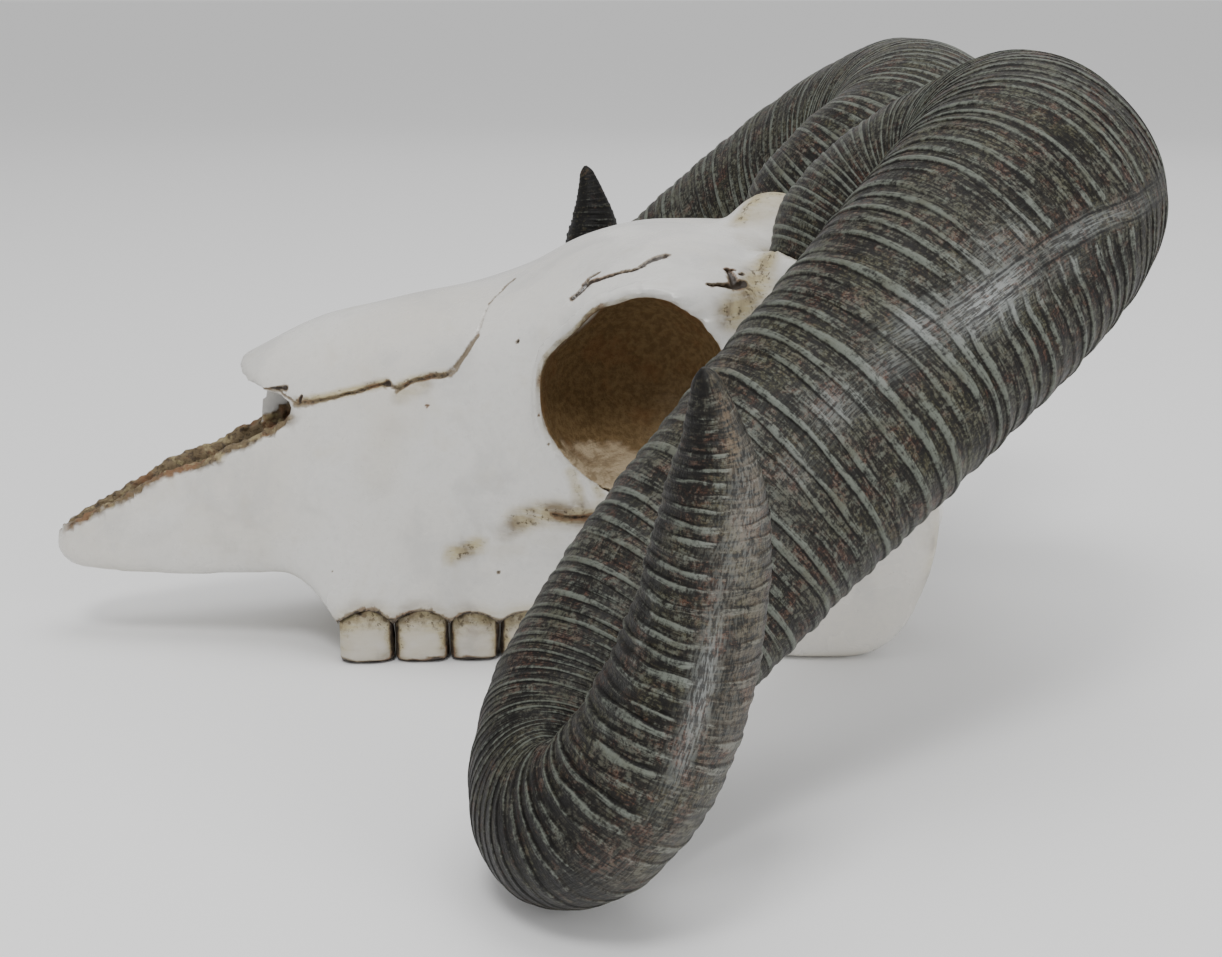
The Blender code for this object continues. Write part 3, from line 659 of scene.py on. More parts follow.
@dataclass
class HornForm:
    """The sweep of a horn from its seat on the skull to its tip, as for the right side."""

    path: tuple = (
        (0.082, 0.038, 0.1105), (0.100, 0.031, 0.1345), (0.127, 0.045, 0.1495),
        (0.128, 0.094, 0.1525), (0.076, 0.137, 0.1125), (-0.010, 0.177, 0.0335),
        (-0.015, 0.221, 0.0150), (0.012, 0.241, 0.0445), (0.024, 0.233, 0.1005),
        (0.017, 0.240, 0.1285),
    )
    radii: tuple = (0.0325, 0.0335, 0.0405, 0.0370, 0.0270, 0.0201, 0.0172, 0.0050)
    triangle: float = -0.028
    keel_out: tuple = (0.0, 1.0, 0.15)
    keel_at: float = 0.38
    bend_room: float = 0.85
    bend_sharpness: float = 6.0
    rooting: float = 0.0050
    rooting_reach: float = 0.017
    steps: int = 1600
    turn_span: int = 16

    def __post_init__(self) -> None:
        """Works out the centre line, its two section axes and its bends at even fine steps."""
        at = np.linspace(0.0, 1.0, self.steps + 1)
        self.centre = b_spline(np.array(self.path), 3, at)
        self.radius = b_spline(np.array(self.radii)[:, None], 2, at)[:, 0]
        self.way = np.gradient(self.centre, axis=0)
        self.way /= np.linalg.norm(self.way, axis=1)[:, None]
        self.keel = np.zeros_like(self.centre)
        start = int(self.keel_at * self.steps)
        for order in (range(start, self.steps + 1), range(start, -1, -1)):
            carried = np.array(self.keel_out)
            for k in order:
                carried = carried - self.way[k] * (carried @ self.way[k])
                carried = carried / np.linalg.norm(carried)
                self.keel[k] = carried
        self.across = np.cross(self.way, self.keel)
        step = np.linalg.norm(np.diff(self.centre, axis=0), axis=1)
        self.length = np.concatenate([[0.0], np.cumsum(step)])
        low = np.maximum(np.arange(self.steps + 1) - self.turn_span, 0)
        high = np.minimum(np.arange(self.steps + 1) + self.turn_span, self.steps)
        self.turn = (self.way[high] - self.way[low]) / (self.length[high] - self.length[low])[:, None]

    def read(self, track: np.ndarray, along: np.ndarray) -> np.ndarray:
        """A fine track at these lengths along the horn."""
        flat = track if track.ndim > 1 else track[:, None]
        return np.stack([np.interp(along, self.length, column) for column in flat.T], -1)

    def surface(self, along: np.ndarray, angle: np.ndarray, lift: np.ndarray) -> np.ndarray:
        """Points of the horn's surface.

        Args:
            along: lengths from the seat.
            angle: turns round the section from the keel.
            lift: how far each point stands off the plain surface.
        Returns:
            One point for each length and angle.
        """
        keel, across = self.read(self.keel, along), self.read(self.across, along)
        turn, radius = self.read(self.turn, along), self.read(self.radius, along)[..., 0]
        out = keel * np.cos(angle)[..., None] + across * np.sin(angle)[..., None]
        reach = radius * (1 + self.triangle * np.cos(3 * angle))
        inward = np.maximum((out * turn).sum(-1), 1e-4)
        room = self.bend_room / inward
        power = self.bend_sharpness
        reach = (reach ** -power + room ** -power) ** (-1 / power)
        lift = lift - self.rooting * (1 - ease(0.0, self.rooting_reach, along)) ** 2
        return self.read(self.centre, along) + out * (reach + lift)[..., None]


@dataclass(frozen=True)
class HornGrid:
    """The corners of a horn's mesh: rows that follow its ridges, with a column at each turn."""

    row: np.ndarray  # length along the horn that each row stands for
    number: np.ndarray  # of the ridge that each row belongs to
    height: np.ndarray  # share of the ridge's height in each row
    groove: np.ndarray  # darkness of the groove in each row
    gap: np.ndarray  # from one ridge to the next, in each row
    turn: np.ndarray  # of each column from the seam
    along: np.ndarray  # length along the horn of each corner
    angle: np.ndarray  # of each corner from the keel


@dataclass
class Horn:
    """One horn: a sweep whose rows follow its growth ridges."""

    side: Side
    form: HornForm
    finish: bpy.types.Material
    columns: int = 100
    keel_crowding: float = 0.42
    relief: float = 0.00048
    full_gap: float = 0.0045
    unevenness: float = 0.00022
    inset: float = 0.00135
    inset_until: tuple = (0.425, 0.395)
    swell: float = 0.0032
    swell_at: float = 0.024
    swell_reach: float = 0.026
    tip_slimming: float = 0.0024
    tip_slimming_reach: float = 0.030
    tip_rings: int = 8
    tip_roundness: float = 1.7
    # how far a row strays, in gaps, slowly and quickly
    straying: tuple = (0.16, 0.035)
    # lengths along the horn and turns from the seam: start, full and, where it ends, fade and end
    split_span: tuple = (0.080, 0.100, 0.165, 0.180)
    strip_span: tuple = (0.088, 0.100, 0.160, 0.182)
    strip_turns: tuple = (0.17, 0.08)
    curl_span: tuple = (0.335, 0.360)
    faint_turns: tuple = (1.2, 1.6, 3.05, 3.30)
    bold_span: tuple = (0.330, 0.350)
    bold_turns: tuple = (3.2, 3.5, 4.9, 5.3)
    # spans of the painted shade under the curl and along the crease beside the tip, then of the darker tip
    # ends
    underside_span: tuple = (0.25, 0.31, 0.350, 0.370)
    crease_span: tuple = (0.345, 0.385)
    near_end_span: tuple = (0.415, 0.440)
    near_end_turns: tuple = (3.55, 4.00, 5.6, 6.2)
    far_end_span: tuple = (0.385, 0.415)
    ridge_profile: tuple = (
        # end of the crest, how far past it in gaps, height, darkness of the groove
        (-1, -0.14, 0.08, 0.10), (-1, 0.0, 0.80, 0.0), (1, 0.0, 1.0, 0.0), (1, 0.06, -0.42, 1.0),
        (1, 0.16, 0.0, 0.10),
    )
    ridge_gaps: Profile = (
        # length along the horn, distance between ridges
        (0.000, 0.0026), (0.050, 0.0026), (0.090, 0.0029), (0.130, 0.0038), (0.170, 0.0047),
        (0.220, 0.0048), (0.260, 0.0040), (0.290, 0.0026), (0.315, 0.0020), (0.332, 0.0022),
        (0.350, 0.0036), (0.370, 0.0044), (0.395, 0.0038), (0.430, 0.0029), (0.4495, 0.0023),
    )
    seam_angles: Profile = (
        # length along the horn, degrees that the seam turns from the keel
        (0.000, 44.0), (0.090, 36.0), (0.104, 30.0), (0.114, 24.0), (0.126, 15.0), (0.138, 8.5),
        (0.161, 1.5), (0.174, -3.0), (0.187, -9.5), (0.204, -13.0), (0.228, -10.0), (0.290, 0.0),
        (0.340, 12.0), (0.355, 4.0), (0.364, 1.0), (0.380, 4.0), (0.402, 8.5), (0.413, 9.0),
        (0.423, 0.0), (0.433, -12.0), (0.4495, -16.0),
    )
    # pale scuffed wear, partly painted highlights on the seam strip and the lit side of the curl
    scuff_and_highlight_spots: tuple = (
        # length along the horn, turn from the seam, reach along and round it, strength
        (0.160, 0.02, 0.017, 0.22, 1.0), (0.128, 0.0, 0.022, 0.10, 0.75),
        (0.176, -0.10, 0.010, 0.22, 0.7), (0.188, 0.0, 0.007, 0.20, 0.55),
        (0.205, 0.0, 0.008, 0.22, 0.6), (0.222, 0.05, 0.006, 0.20, 0.4),
        (0.387, 3.06, 0.024, 0.22, 0.80), (0.408, 3.06, 0.012, 0.18, 0.5),
        (0.392, 4.15, 0.022, 0.14, 0.25), (0.380, 2.55, 0.050, 0.55, 0.34),
        (0.345, 2.9, 0.020, 0.60, 0.36), (0.424, 2.75, 0.024, 0.65, 0.60),
        (0.150, -0.22, 0.012, 0.20, 0.55), (0.240, -0.30, 0.030, 0.60, 0.22),
        (0.140, 0.16, 0.012, 0.12, 0.4),
    )
    tans: tuple = (
        # given as the scuff and highlight spots
        (0.440, 3.00, 0.008, 0.34, 0.85), (0.426, 2.60, 0.022, 0.60, 0.42),
        (0.395, 2.40, 0.030, 0.60, 0.34), (0.345, 2.6, 0.030, 0.50, 0.18),
        (0.216, -0.98, 0.012, 0.16, 0.45),
    )
    painted_shade_spots: tuple = (
        # painted shade spots, given as the scuff and highlight spots
        (0.118, 0.45, 0.024, 0.50, 0.50), (0.150, 1.00, 0.040, 0.40, 0.28),
        (0.330, -1.50, 0.030, 0.70, 0.30), (0.384, 4.05, 0.020, 0.42, 0.36),
    )
    # the painted shade along the crease beside the tip: its turn and reach
    crease_turn: float = 4.62
    crease_reach: float = 0.40
    point: float = 0.0049
    # faces under the curl that look this way get painted shade
    shaded_from: tuple = (-0.80, 0.0, -0.60)

    def name(self) -> str:
        """Name of the piece."""
        return f"horn_{self.side.name.lower()}_ridged"

    def seed(self, number: int) -> int:
        """The seed of one of this horn's patterns."""
        return number + (20 if self.side is Side.LEFT else 40)

    def tip(self) -> float:
        """Length from the seat to the tip."""
        return self.form.length[-1]

    def rows(self) -> tuple[np.ndarray, np.ndarray, np.ndarray, np.ndarray]:
        """Where the rows of the mesh lie.

        Returns:
            Length along the horn, number of the ridge, height and groove, for each row.
        """
        fine = np.linspace(0.0, self.tip(), 4000)
        gaps = smooth_curve(self.ridge_gaps, fine)
        count = np.concatenate([[0.0], np.cumsum(np.diff(fine) / gaps[1:])])
        draw = np.random.default_rng(7 if self.side is Side.LEFT else 11)
        phases, marks = [], []
        for k in range(int(count[-1]) - 1):
            middle = 0.50 + draw.uniform(-0.10, 0.10)
            half = draw.uniform(0.10, 0.18)
            phases += [k] + [k + (middle + end * half + past) for end, past, _, _ in self.ridge_profile]
            marks += [(k, 0.0, 0.0)] + [(k, height, groove) for _, _, height, groove in self.ridge_profile]
        phases = np.maximum.accumulate(np.array(phases) + np.arange(len(phases)) * 1e-4)
        return np.interp(phases, count, fine), *np.array(marks).T

    def angles(self) -> np.ndarray:
        """Turns of the columns from the seam, closer together near both keels."""
        u = np.arange(self.columns) / self.columns
        return 2 * math.pi * u - self.keel_crowding * np.sin(4 * math.pi * u) / 2

    def stray(self, row: np.ndarray, gap: np.ndarray, turn: np.ndarray) -> np.ndarray:
        """How far each corner strays from its row along the horn, half a gap more past the seam.

        Args:
            row: length along the horn that each row stands for.
            gap: from one ridge to the next, in each row.
            turn: of each column from the seam.
        Returns:
            The distance along the horn.
        """
        phase = 2 * math.pi * row / self.tip()
        slow, quick = self.straying
        strays = slow * waves(self.seed(0), 10, 2, phase * 4, turn)
        strays = gap * (strays + quick * waves(self.seed(1), 12, 9, phase * 12, turn))
        past_seam = ease(0.05, 0.30, turn) - ease(math.pi - 0.2, 2 * math.pi - 0.6, turn)
        part = 0.5 * gap * band(row, *self.split_span) * past_seam
        return (strays + part) * band(row, 0.0, 0.02, self.tip() - 0.03, self.tip())

    def grid(self) -> HornGrid:
        """Where the corners of the mesh lie.

        Returns:
            The rows, the columns and the place of each corner.
        """
        row, number, height, groove = (line[:, None] for line in self.rows())
        turn = self.angles()[None, :]
        gap = smooth_curve(self.ridge_gaps, row)
        along = row + self.stray(row, gap, turn)
        angle = turn + np.radians(smooth_curve(self.seam_angles, along))
        return HornGrid(row, number, height, groove, gap, turn, along, angle)

    def build(self) -> bpy.types.Object:
        """The finished horn.

        Returns:
            The piece, with what its finish reads stored on it.
        """
        grid = self.grid()
        strength = self.strengths(grid)
        points = self.form.surface(grid.along, grid.angle, self.lifts(grid, strength))
        points[..., 1] *= self.side.value
        points = self.close_ends(points)
        shape = loft(self.name(), points)
        self.store(shape, points, grid, strength)
        dress(shape, self.finish)
        return shape

    def strengths(self, grid: HornGrid) -> np.ndarray:
        """How strongly the ridges stand out, where 1 is a plain ridge.

        Args:
            grid: the corners of the mesh.
        Returns:
            The strength at each corner.
        """
        uneven = waves(self.seed(2), 14, 4, grid.number * GOLDEN_TURN, grid.turn)
        strength = np.clip(0.84 + 0.24 * uneven, 0.25, 1.15)
        strip = band(grid.along, *self.strip_span) * ease(*self.strip_turns, self.from_seam(grid))
        curled = ease(*self.curl_span, grid.along)
        faint = curled * band(grid.turn, *self.faint_turns)
        keel = curled * bell(grid.turn, math.pi, 0.13)
        strength = strength * (1 - 0.85 * strip) * (1 - 0.35 * faint) * (1 - 0.5 * keel)
        return strength * (0.35 + 0.65 * self.before_tip(grid)) * ease(0.0, 0.006, grid.row + 0.002)

    def lifts(self, grid: HornGrid, strength: np.ndarray) -> np.ndarray:
        """How far each corner stands off the plain surface.

        Args:
            grid: the corners of the mesh.
            strength: of the ridges at each corner.
        Returns:
            The distance outwards.
        """
        bold = ease(*self.bold_span, grid.along) * band(grid.turn, *self.bold_turns)
        depth = self.relief * np.clip(grid.gap / self.full_gap, 0.45, 1.0)
        depth = depth * (0.65 + 0.35 * self.outer_share(grid.along, grid.angle)) * (1 + 0.35 * bold)
        lift = depth * grid.height * strength - self.inset * ease(*self.inset_until, grid.along)
        phase = 2 * math.pi * grid.row / self.tip()
        uneven = waves(self.seed(3), 12, 5, phase * 9, grid.turn) * self.before_tip(grid)
        slimmer = ease(self.tip() - self.tip_slimming_reach, self.tip(), grid.row)
        lift = lift + self.unevenness * uneven - self.tip_slimming * slimmer
        forward = ease(0.1, 0.8, -self.outward(grid.along, grid.angle)[..., 0])
        return lift + self.swell * forward * bell(grid.along, self.swell_at, self.swell_reach)

    def from_seam(self, grid: HornGrid) -> np.ndarray:
        """Turn of each column from the seam, the shorter way round."""
        return np.abs((grid.turn + math.pi) % (2 * math.pi) - math.pi)

    def before_tip(self, grid: HornGrid) -> np.ndarray:
        """1 over the horn, with a smooth step to 0 over its last 20 mm."""
        return ease(self.tip(), self.tip() - 0.02, grid.along)

    def outward(self, along: np.ndarray, angle: np.ndarray) -> np.ndarray:
        """Direction from the centre line to each place."""
        keel, across = (self.form.read(t, along) for t in (self.form.keel, self.form.across))
        return keel * np.cos(angle)[..., None] + across * np.sin(angle)[..., None]

    def outer_share(self, along: np.ndarray, angle: np.ndarray) -> np.ndarray:
        """How far a place lies on the outside of the bend, from 0 to 1."""
        turn, radius = (self.form.read(t, along) for t in (self.form.turn, self.form.radius))
        return ease(0.75, -0.1, (self.outward(along, angle) * turn).sum(-1) * radius[..., 0])

    def close_ends(self, rings: np.ndarray) -> np.ndarray:
        """Rounds the tip.

        Args:
            rings: array of ring, point and coordinate, from the seat to the tip.
        Returns:
            The rings, with those of the rounded tip behind them.
        """
        tip = rings[-1].mean(axis=0)
        ahead = tip - rings[-4].mean(axis=0)
        ahead /= np.linalg.norm(ahead)
        caps = []
        for share in np.linspace(0.0, 1.0, self.tip_rings + 2)[1:-1]:
            shrunk = tip + (rings[-1] - tip) * (1 - share**self.tip_roundness)
            caps.append(shrunk + ahead * self.point * share)
        return np.concatenate([rings, np.array(caps)])

    def spots(self, table: tuple, grid: HornGrid) -> np.ndarray:
        """Soft spots at the places that a table gives.

        Args:
            table: a row for each spot, as in the scuffs and painted highlights.
            grid: the corners of the mesh.
        Returns:
            A number from 0 to 1 for each corner.
        """
        total = np.zeros_like(grid.along)
        for place, middle, long, wide, strength in table:
            aside = (grid.turn - middle + math.pi) % (2 * math.pi) - math.pi
            spot = np.exp(-(((grid.along - place) / long) ** 2) - (aside / wide) ** 2)
            total = np.maximum(total, strength * spot)
        return total

    def shaded(self, points: np.ndarray, grid: HornGrid) -> np.ndarray:
        """Painted shade under the curl, along the crease beside the tip and at the painted shade spots, and
        the darker ends of the tips.

        Args:
            points: rows of corners, with those of the rounded tip.
            grid: the corners of the mesh.
        Returns:
            How dark each corner is, where 1 is the darkest of the near horn.
        """
        rows = len(grid.along)
        out = np.cross(np.gradient(points, axis=0), np.gradient(points, axis=1))[:rows]
        out *= np.sign((out * (points - points.mean(axis=1, keepdims=True))[:rows]).sum(-1))[..., None]
        out /= np.linalg.norm(out, axis=-1)[..., None] + 1e-12
        # painted shade on the faces under the curl that look down and forwards, along shaded_from
        below = ease(-0.10, 0.80, out @ np.array(self.shaded_from)) * band(grid.along, *self.underside_span)
        # painted shade along the crease beside the tip
        crease = bell(grid.turn, self.crease_turn, self.crease_reach) * ease(*self.crease_span, grid.along)
        # darker towards the tips: on one flank of the near tip, all round the far tip
        end = 0.8 * ease(*self.near_end_span, grid.along) * band(grid.turn, *self.near_end_turns)
        if self.side is Side.RIGHT:
            end = 1.3 * ease(*self.far_end_span, grid.along)
        return greatest(0.95 * below, crease, end, self.spots(self.painted_shade_spots, grid))

    def store(self, shape: bpy.types.Object, points: np.ndarray, grid: HornGrid,
              strength: np.ndarray) -> None:
        """Stores what the finish reads at each corner of the mesh.

        Args:
            shape: the horn.
            points: its rows of corners, with those of the rounded tip.
            grid: the corners before the tip was rounded.
            strength: of the ridges at each of them.
        """
        radius = self.form.read(self.form.radius, grid.along)[..., 0]
        marks = {
            "ridge": np.clip(grid.height, 0, 1) * np.clip(strength, 0, 1),
            "groove": grid.groove * np.clip(strength + 0.1, 0, 1),
            "strip": band(grid.along, *self.strip_span) * (self.from_seam(grid) < 1.0),
            "along": grid.row,
            "keelward": np.cos(grid.turn) * radius,
            "sideward": np.sin(grid.turn) * radius,
            # scuffs, partly painted highlights
            "scuff_and_highlight": self.spots(self.scuff_and_highlight_spots, grid),
            "tan": self.spots(self.tans, grid),
            # painted shade under the curl, along the crease and at set spots, with the darker tip ends
            "shade": self.shaded(points, grid),
        }
        extra = len(points) - len(grid.along)
        for name, value in marks.items():
            value = np.broadcast_to(value, grid.along.shape)
            value = np.concatenate([value, np.repeat(value[-1:], extra, axis=0)])
            paint(shape, **{name: np.concatenate([value.ravel(), [value[0].mean(), value[-1].mean()]])})


# ---------------------------------------------------------------- skull


def rounded_rings(corners: np.ndarray, steps: int) -> np.ndarray:
    """Closed smooth rings through rows of corners.

    Args:
        corners: array of ring, corner and coordinate.
        steps: how many points lead from each corner to the next.
    Returns:
        Array of ring, point and coordinate.
    """
    before, after, last = (np.roll(corners, k, axis=1) for k in (1, -1, -2))
    parts = []
    for u in np.arange(steps) / steps:
        bend = (2 * before - 5 * corners + 4 * after - last) * u * u
        sway = (3 * corners - before - 3 * after + last) * u**3
        parts.append(0.5 * (2 * corners + (after - before) * u + bend + sway))
    return np.stack(parts, 2).reshape(len(corners), -1, 3)


def squared(value: np.ndarray, power: float) -> np.ndarray:
    """Cosines or sines pushed towards a squarer outline, their signs kept."""
    return np.sign(value) * np.abs(value) ** power


def full_turn(count: int) -> np.ndarray:
    """Angles at even steps round a full turn."""
    return 2 * math.pi * np.arange(count) / count


def between(low: np.ndarray, high: np.ndarray, swing: np.ndarray) -> np.ndarray:
    """Values that swing between two limits, with a row for each pair of limits."""
    return ((low + high) / 2)[:, None] + ((high - low) / 2)[:, None] * swing


def smooth_path(knots: tuple, steps: int) -> np.ndarray:
    """A smooth path through 3-D knots.

    Args:
        knots: in order.
        steps: how many points the path gets.
    Returns:
        Points at even shares of the path, one a row.
    """
    knots = np.array(knots)
    reach = np.concatenate([[0.0], np.cumsum(np.linalg.norm(np.diff(knots, axis=0), axis=1))])
    at = np.linspace(0.0, reach[-1], steps)
    return np.stack(read_table(np.column_stack([reach, knots]), at), 1)


def tube(name: str, path: tuple, radius: float, sides: int = 20, steps: int = 60) -> bpy.types.Object:
    """A round bar along a smooth path.

    Args:
        name: of the object.
        path: knots of the centre line.
        radius: of the bar.
        sides: how many points each ring has.
        steps: how many rings it has.
    Returns:
        The object.
    """
    centre = smooth_path(path, steps)
    way = np.gradient(centre, axis=0)
    way /= np.linalg.norm(way, axis=1)[:, None]
    side = np.cross(way, (0.0, 0.0, 1.0))
    side /= np.linalg.norm(side, axis=1)[:, None]
    up = np.cross(side, way)
    a = full_turn(sides)[None, :, None]
    return loft(name, centre[:, None] + radius * (side[:, None] * np.cos(a) + up[:, None] * np.sin(a)))


def ball(name: str, centre: tuple, radii: tuple) -> bpy.types.Object:
    """An ellipsoid from a sphere primitive.

    Args:
        name: of the object.
        centre: its middle.
        radii: along x, y and z.
    Returns:
        The object.
    """
    deselect()
    bpy.ops.mesh.primitive_uv_sphere_add(segments=40, ring_count=24, radius=1.0, location=centre,
                                         scale=radii)
    shape = bpy.context.object
    shape.name = name
    bpy.ops.object.transform_apply(location=True, rotation=True, scale=True)
    return shape


@dataclass
class SkullForm:
    """The outlines of the skull, each a smooth curve of (x, height) or (x, half width)."""

    nose_x: float = -0.1665
    occiput_x: float = 0.1140
    roof: Profile = (
        (-0.1665, 0.0342), (-0.1653, 0.0368), (-0.1625, 0.0430), (-0.1500, 0.0600), (-0.1280, 0.0800),
        (-0.1040, 0.0915), (-0.0800, 0.1033), (-0.0550, 0.1092), (-0.0290, 0.1140), (-0.0100, 0.1203),
        (0.0030, 0.1268), (0.0170, 0.1310), (0.0350, 0.1322), (0.0550, 0.1318), (0.0750, 0.1240),
        (0.0950, 0.1020), (0.1070, 0.0850), (0.1140, 0.0640),
    )
    brow_width: Profile = (
        (-0.1665, 0.0022), (-0.1653, 0.0045), (-0.1625, 0.0062), (-0.1500, 0.0092), (-0.1280, 0.0120),
        (-0.1040, 0.0130), (-0.0800, 0.0185), (-0.0550, 0.0235), (-0.0290, 0.0300), (0.0000, 0.0430),
        (0.0170, 0.0535), (0.0350, 0.0600), (0.0490, 0.0575), (0.0650, 0.0460), (0.0850, 0.0390),
        (0.1050, 0.0270), (0.1140, 0.0140),
    )
    brow_height: Profile = (
        (-0.1665, 0.0335), (-0.1653, 0.0350), (-0.1625, 0.0390), (-0.1500, 0.0500), (-0.1280, 0.0665),
        (-0.1040, 0.0835), (-0.0800, 0.0925), (-0.0550, 0.0985), (-0.0290, 0.1040), (0.0000, 0.1150),
        (0.0170, 0.1205), (0.0350, 0.1222), (0.0490, 0.1190), (0.0650, 0.1080), (0.0850, 0.0930),
        (0.1050, 0.0720), (0.1140, 0.0580),
    )
    cheek_width: Profile = (
        (-0.1665, 0.0036), (-0.1653, 0.0066), (-0.1625, 0.0086), (-0.1500, 0.0122), (-0.1280, 0.0160),
        (-0.1040, 0.0200), (-0.0800, 0.0262), (-0.0550, 0.0330), (-0.0290, 0.0410), (0.0000, 0.0535),
        (0.0170, 0.0610), (0.0350, 0.0655), (0.0490, 0.0610), (0.0650, 0.0440), (0.0850, 0.0415),
        (0.1050, 0.0310), (0.1140, 0.0170),
    )
    cheek_height: Profile = (
        (-0.1665, 0.0320), (-0.1653, 0.0322), (-0.1625, 0.0335), (-0.1500, 0.0395), (-0.1280, 0.0485),
        (-0.1040, 0.0580), (-0.0800, 0.0640), (-0.0290, 0.0720), (0.0000, 0.0860), (0.0170, 0.0890),
        (0.0490, 0.0890), (0.0650, 0.0800), (0.0850, 0.0700), (0.1050, 0.0560), (0.1140, 0.0500),
    )
    crest_width: Profile = (
        (-0.1665, 0.0036), (-0.1653, 0.0066), (-0.1625, 0.0090), (-0.1500, 0.0134), (-0.1280, 0.0178),
        (-0.1040, 0.0222), (-0.0800, 0.0298), (-0.0550, 0.0378), (-0.0290, 0.0462), (0.0000, 0.0568),
        (0.0170, 0.0608), (0.0350, 0.0612), (0.0490, 0.0540), (0.0650, 0.0400), (0.0850, 0.0395),
        (0.1050, 0.0310), (0.1140, 0.0175),
    )
    crest_height: Profile = (
        (-0.1665, 0.0302), (-0.1653, 0.0288), (-0.1625, 0.0284), (-0.1500, 0.0310), (-0.1280, 0.0360),
        (-0.1040, 0.0400), (-0.0800, 0.0425), (-0.0290, 0.0470), (0.0000, 0.0530), (0.0170, 0.0560),
        (0.0490, 0.0580), (0.0650, 0.0550), (0.0850, 0.0480), (0.1050, 0.0400), (0.1140, 0.0420),
    )
    jaw_width: Profile = (
        (-0.1665, 0.0022), (-0.1653, 0.0045), (-0.1625, 0.0070), (-0.1500, 0.0122), (-0.1280, 0.0160),
        (-0.1040, 0.0205), (-0.0870, 0.0275), (-0.0745, 0.0390), (-0.0550, 0.0405), (0.0000, 0.0415),
        (0.0170, 0.0402), (0.0300, 0.0350), (0.0450, 0.0250), (0.0650, 0.0220), (0.0950, 0.0235),
        (0.1140, 0.0120),
    )
    jaw_height: Profile = (
        (-0.1665, 0.0288), (-0.1653, 0.0268), (-0.1625, 0.0252), (-0.1500, 0.0236), (-0.1280, 0.0232),
        (-0.1040, 0.0242), (-0.0865, 0.0246), (-0.0790, 0.0190), (-0.0742, 0.0130), (-0.0600, 0.0125),
        (0.0100, 0.0128), (0.0250, 0.0150), (0.0400, 0.0260), (0.0600, 0.0300), (0.0950, 0.0270),
        (0.1140, 0.0330),
    )
    ridge_breadth: Profile = (
        (-0.1665, 0.0014), (-0.1625, 0.0035), (-0.1280, 0.0080), (-0.0950, 0.0120), (-0.0760, 0.0160),
        (0.0200, 0.0165), (0.0450, 0.0110), (0.1140, 0.0060),
    )
    palate: Profile = (
        (-0.1665, 0.0284), (-0.1653, 0.0264), (-0.1625, 0.0250), (-0.1500, 0.0240), (-0.1040, 0.0255),
        (-0.0760, 0.0290), (-0.0400, 0.0320), (0.0200, 0.0350), (0.0600, 0.0320), (0.0950, 0.0300),
        (0.1140, 0.0350),
    )
    lobe: tuple = (
        # height, front x, back x, inner y, outer y
        (0.0000, 0.0600, 0.0915, 0.0345, 0.0445), (0.0025, 0.0570, 0.0970, 0.0325, 0.0462),
        (0.0090, 0.0540, 0.1040, 0.0305, 0.0475), (0.0180, 0.0510, 0.1083, 0.0285, 0.0483),
        (0.0340, 0.0485, 0.1135, 0.0250, 0.0484), (0.0500, 0.0500, 0.1140, 0.0200, 0.0465),
        (0.0680, 0.0560, 0.1060, 0.0120, 0.0400),
    )
    lobe_squareness: float = 0.77
    arch: tuple = ((0.036, 0.0585, 0.0605), (0.052, 0.0590, 0.0600), (0.068, 0.0560, 0.0590),
                   (0.082, 0.0480, 0.0570), (0.092, 0.0380, 0.0550))
    arch_radius: float = 0.0048
    nape: tuple = ((0.0900, -0.0330, 0.0560), (0.0990, -0.0305, 0.0770), (0.1030, -0.0175, 0.0895),
                   (0.1045, 0.0000, 0.0940), (0.1030, 0.0175, 0.0895), (0.0990, 0.0305, 0.0770),
                   (0.0900, 0.0330, 0.0560))
    nape_radius: float = 0.0042
    condyle_at: tuple = (0.1120, 0.0140, 0.0400)
    condyle_radii: tuple = (0.0090, 0.0090, 0.0115)
    peak_at: tuple = (0.0650, 0.0, 0.1080)
    peak_radii: tuple = (0.0215, 0.0215, 0.0340)
    boss_root: tuple = (0.0640, 0.0280, 0.0900)
    boss_radii: tuple = (0.0300, 0.0312)
    foramen_at: tuple = (0.1200, 0.0, 0.0480)
    foramen_radius: float = 0.0085
    foramen_bore: tuple = ((-0.0100, 1.1), (0.0000, 1.0), (0.0144, 0.9), (0.0240, 0.5))
    stations: int = 170
    ring_steps: int = 10
    crowding: float = 0.03

    def core(self) -> bpy.types.Object:
        """The face, cheeks and braincase as one loft from the nose to the occiput."""
        u = np.linspace(-1.0, 1.0, self.stations)
        share = 0.5 + 0.5 * u + self.crowding * np.sin(math.pi * u)
        x = self.nose_x + (self.occiput_x - self.nose_x) * share
        halves = []
        for width, height in ((self.brow_width, self.brow_height), (self.cheek_width, self.cheek_height),
                              (self.crest_width, self.crest_height), (self.jaw_width, self.jaw_height)):
            halves.append((smooth_curve(width, x), smooth_curve(height, x)))
        jaw, foot = halves[-1]
        halves.append((jaw - smooth_curve(self.ridge_breadth, x), foot))
        middle = np.zeros_like(x)
        corners = [(middle, smooth_curve(self.roof, x)), *halves, (middle, smooth_curve(self.palate, x))]
        corners += [(-width, height) for width, height in reversed(halves)]
        rows = np.stack([np.stack([x, y, z], -1) for y, z in corners], axis=1)
        return loft("skull_core", rounded_rings(rows, self.ring_steps))

    def occipital_lobe(self, side: Side) -> bpy.types.Object:
        """The smooth mass behind the jaw joint on one side, which reaches down to the floor."""
        height = np.linspace(self.lobe[0][0], self.lobe[-1][0], 50)
        front, back, inner, outer = read_table(self.lobe, height)
        a = full_turn(64)[None, :]
        x = between(front, back, squared(np.cos(a), self.lobe_squareness))
        y = between(inner, outer, squared(np.sin(a), self.lobe_squareness))
        return loft("occipital_lobe", np.stack([x, side.value * y, height[:, None] + 0 * a], -1))

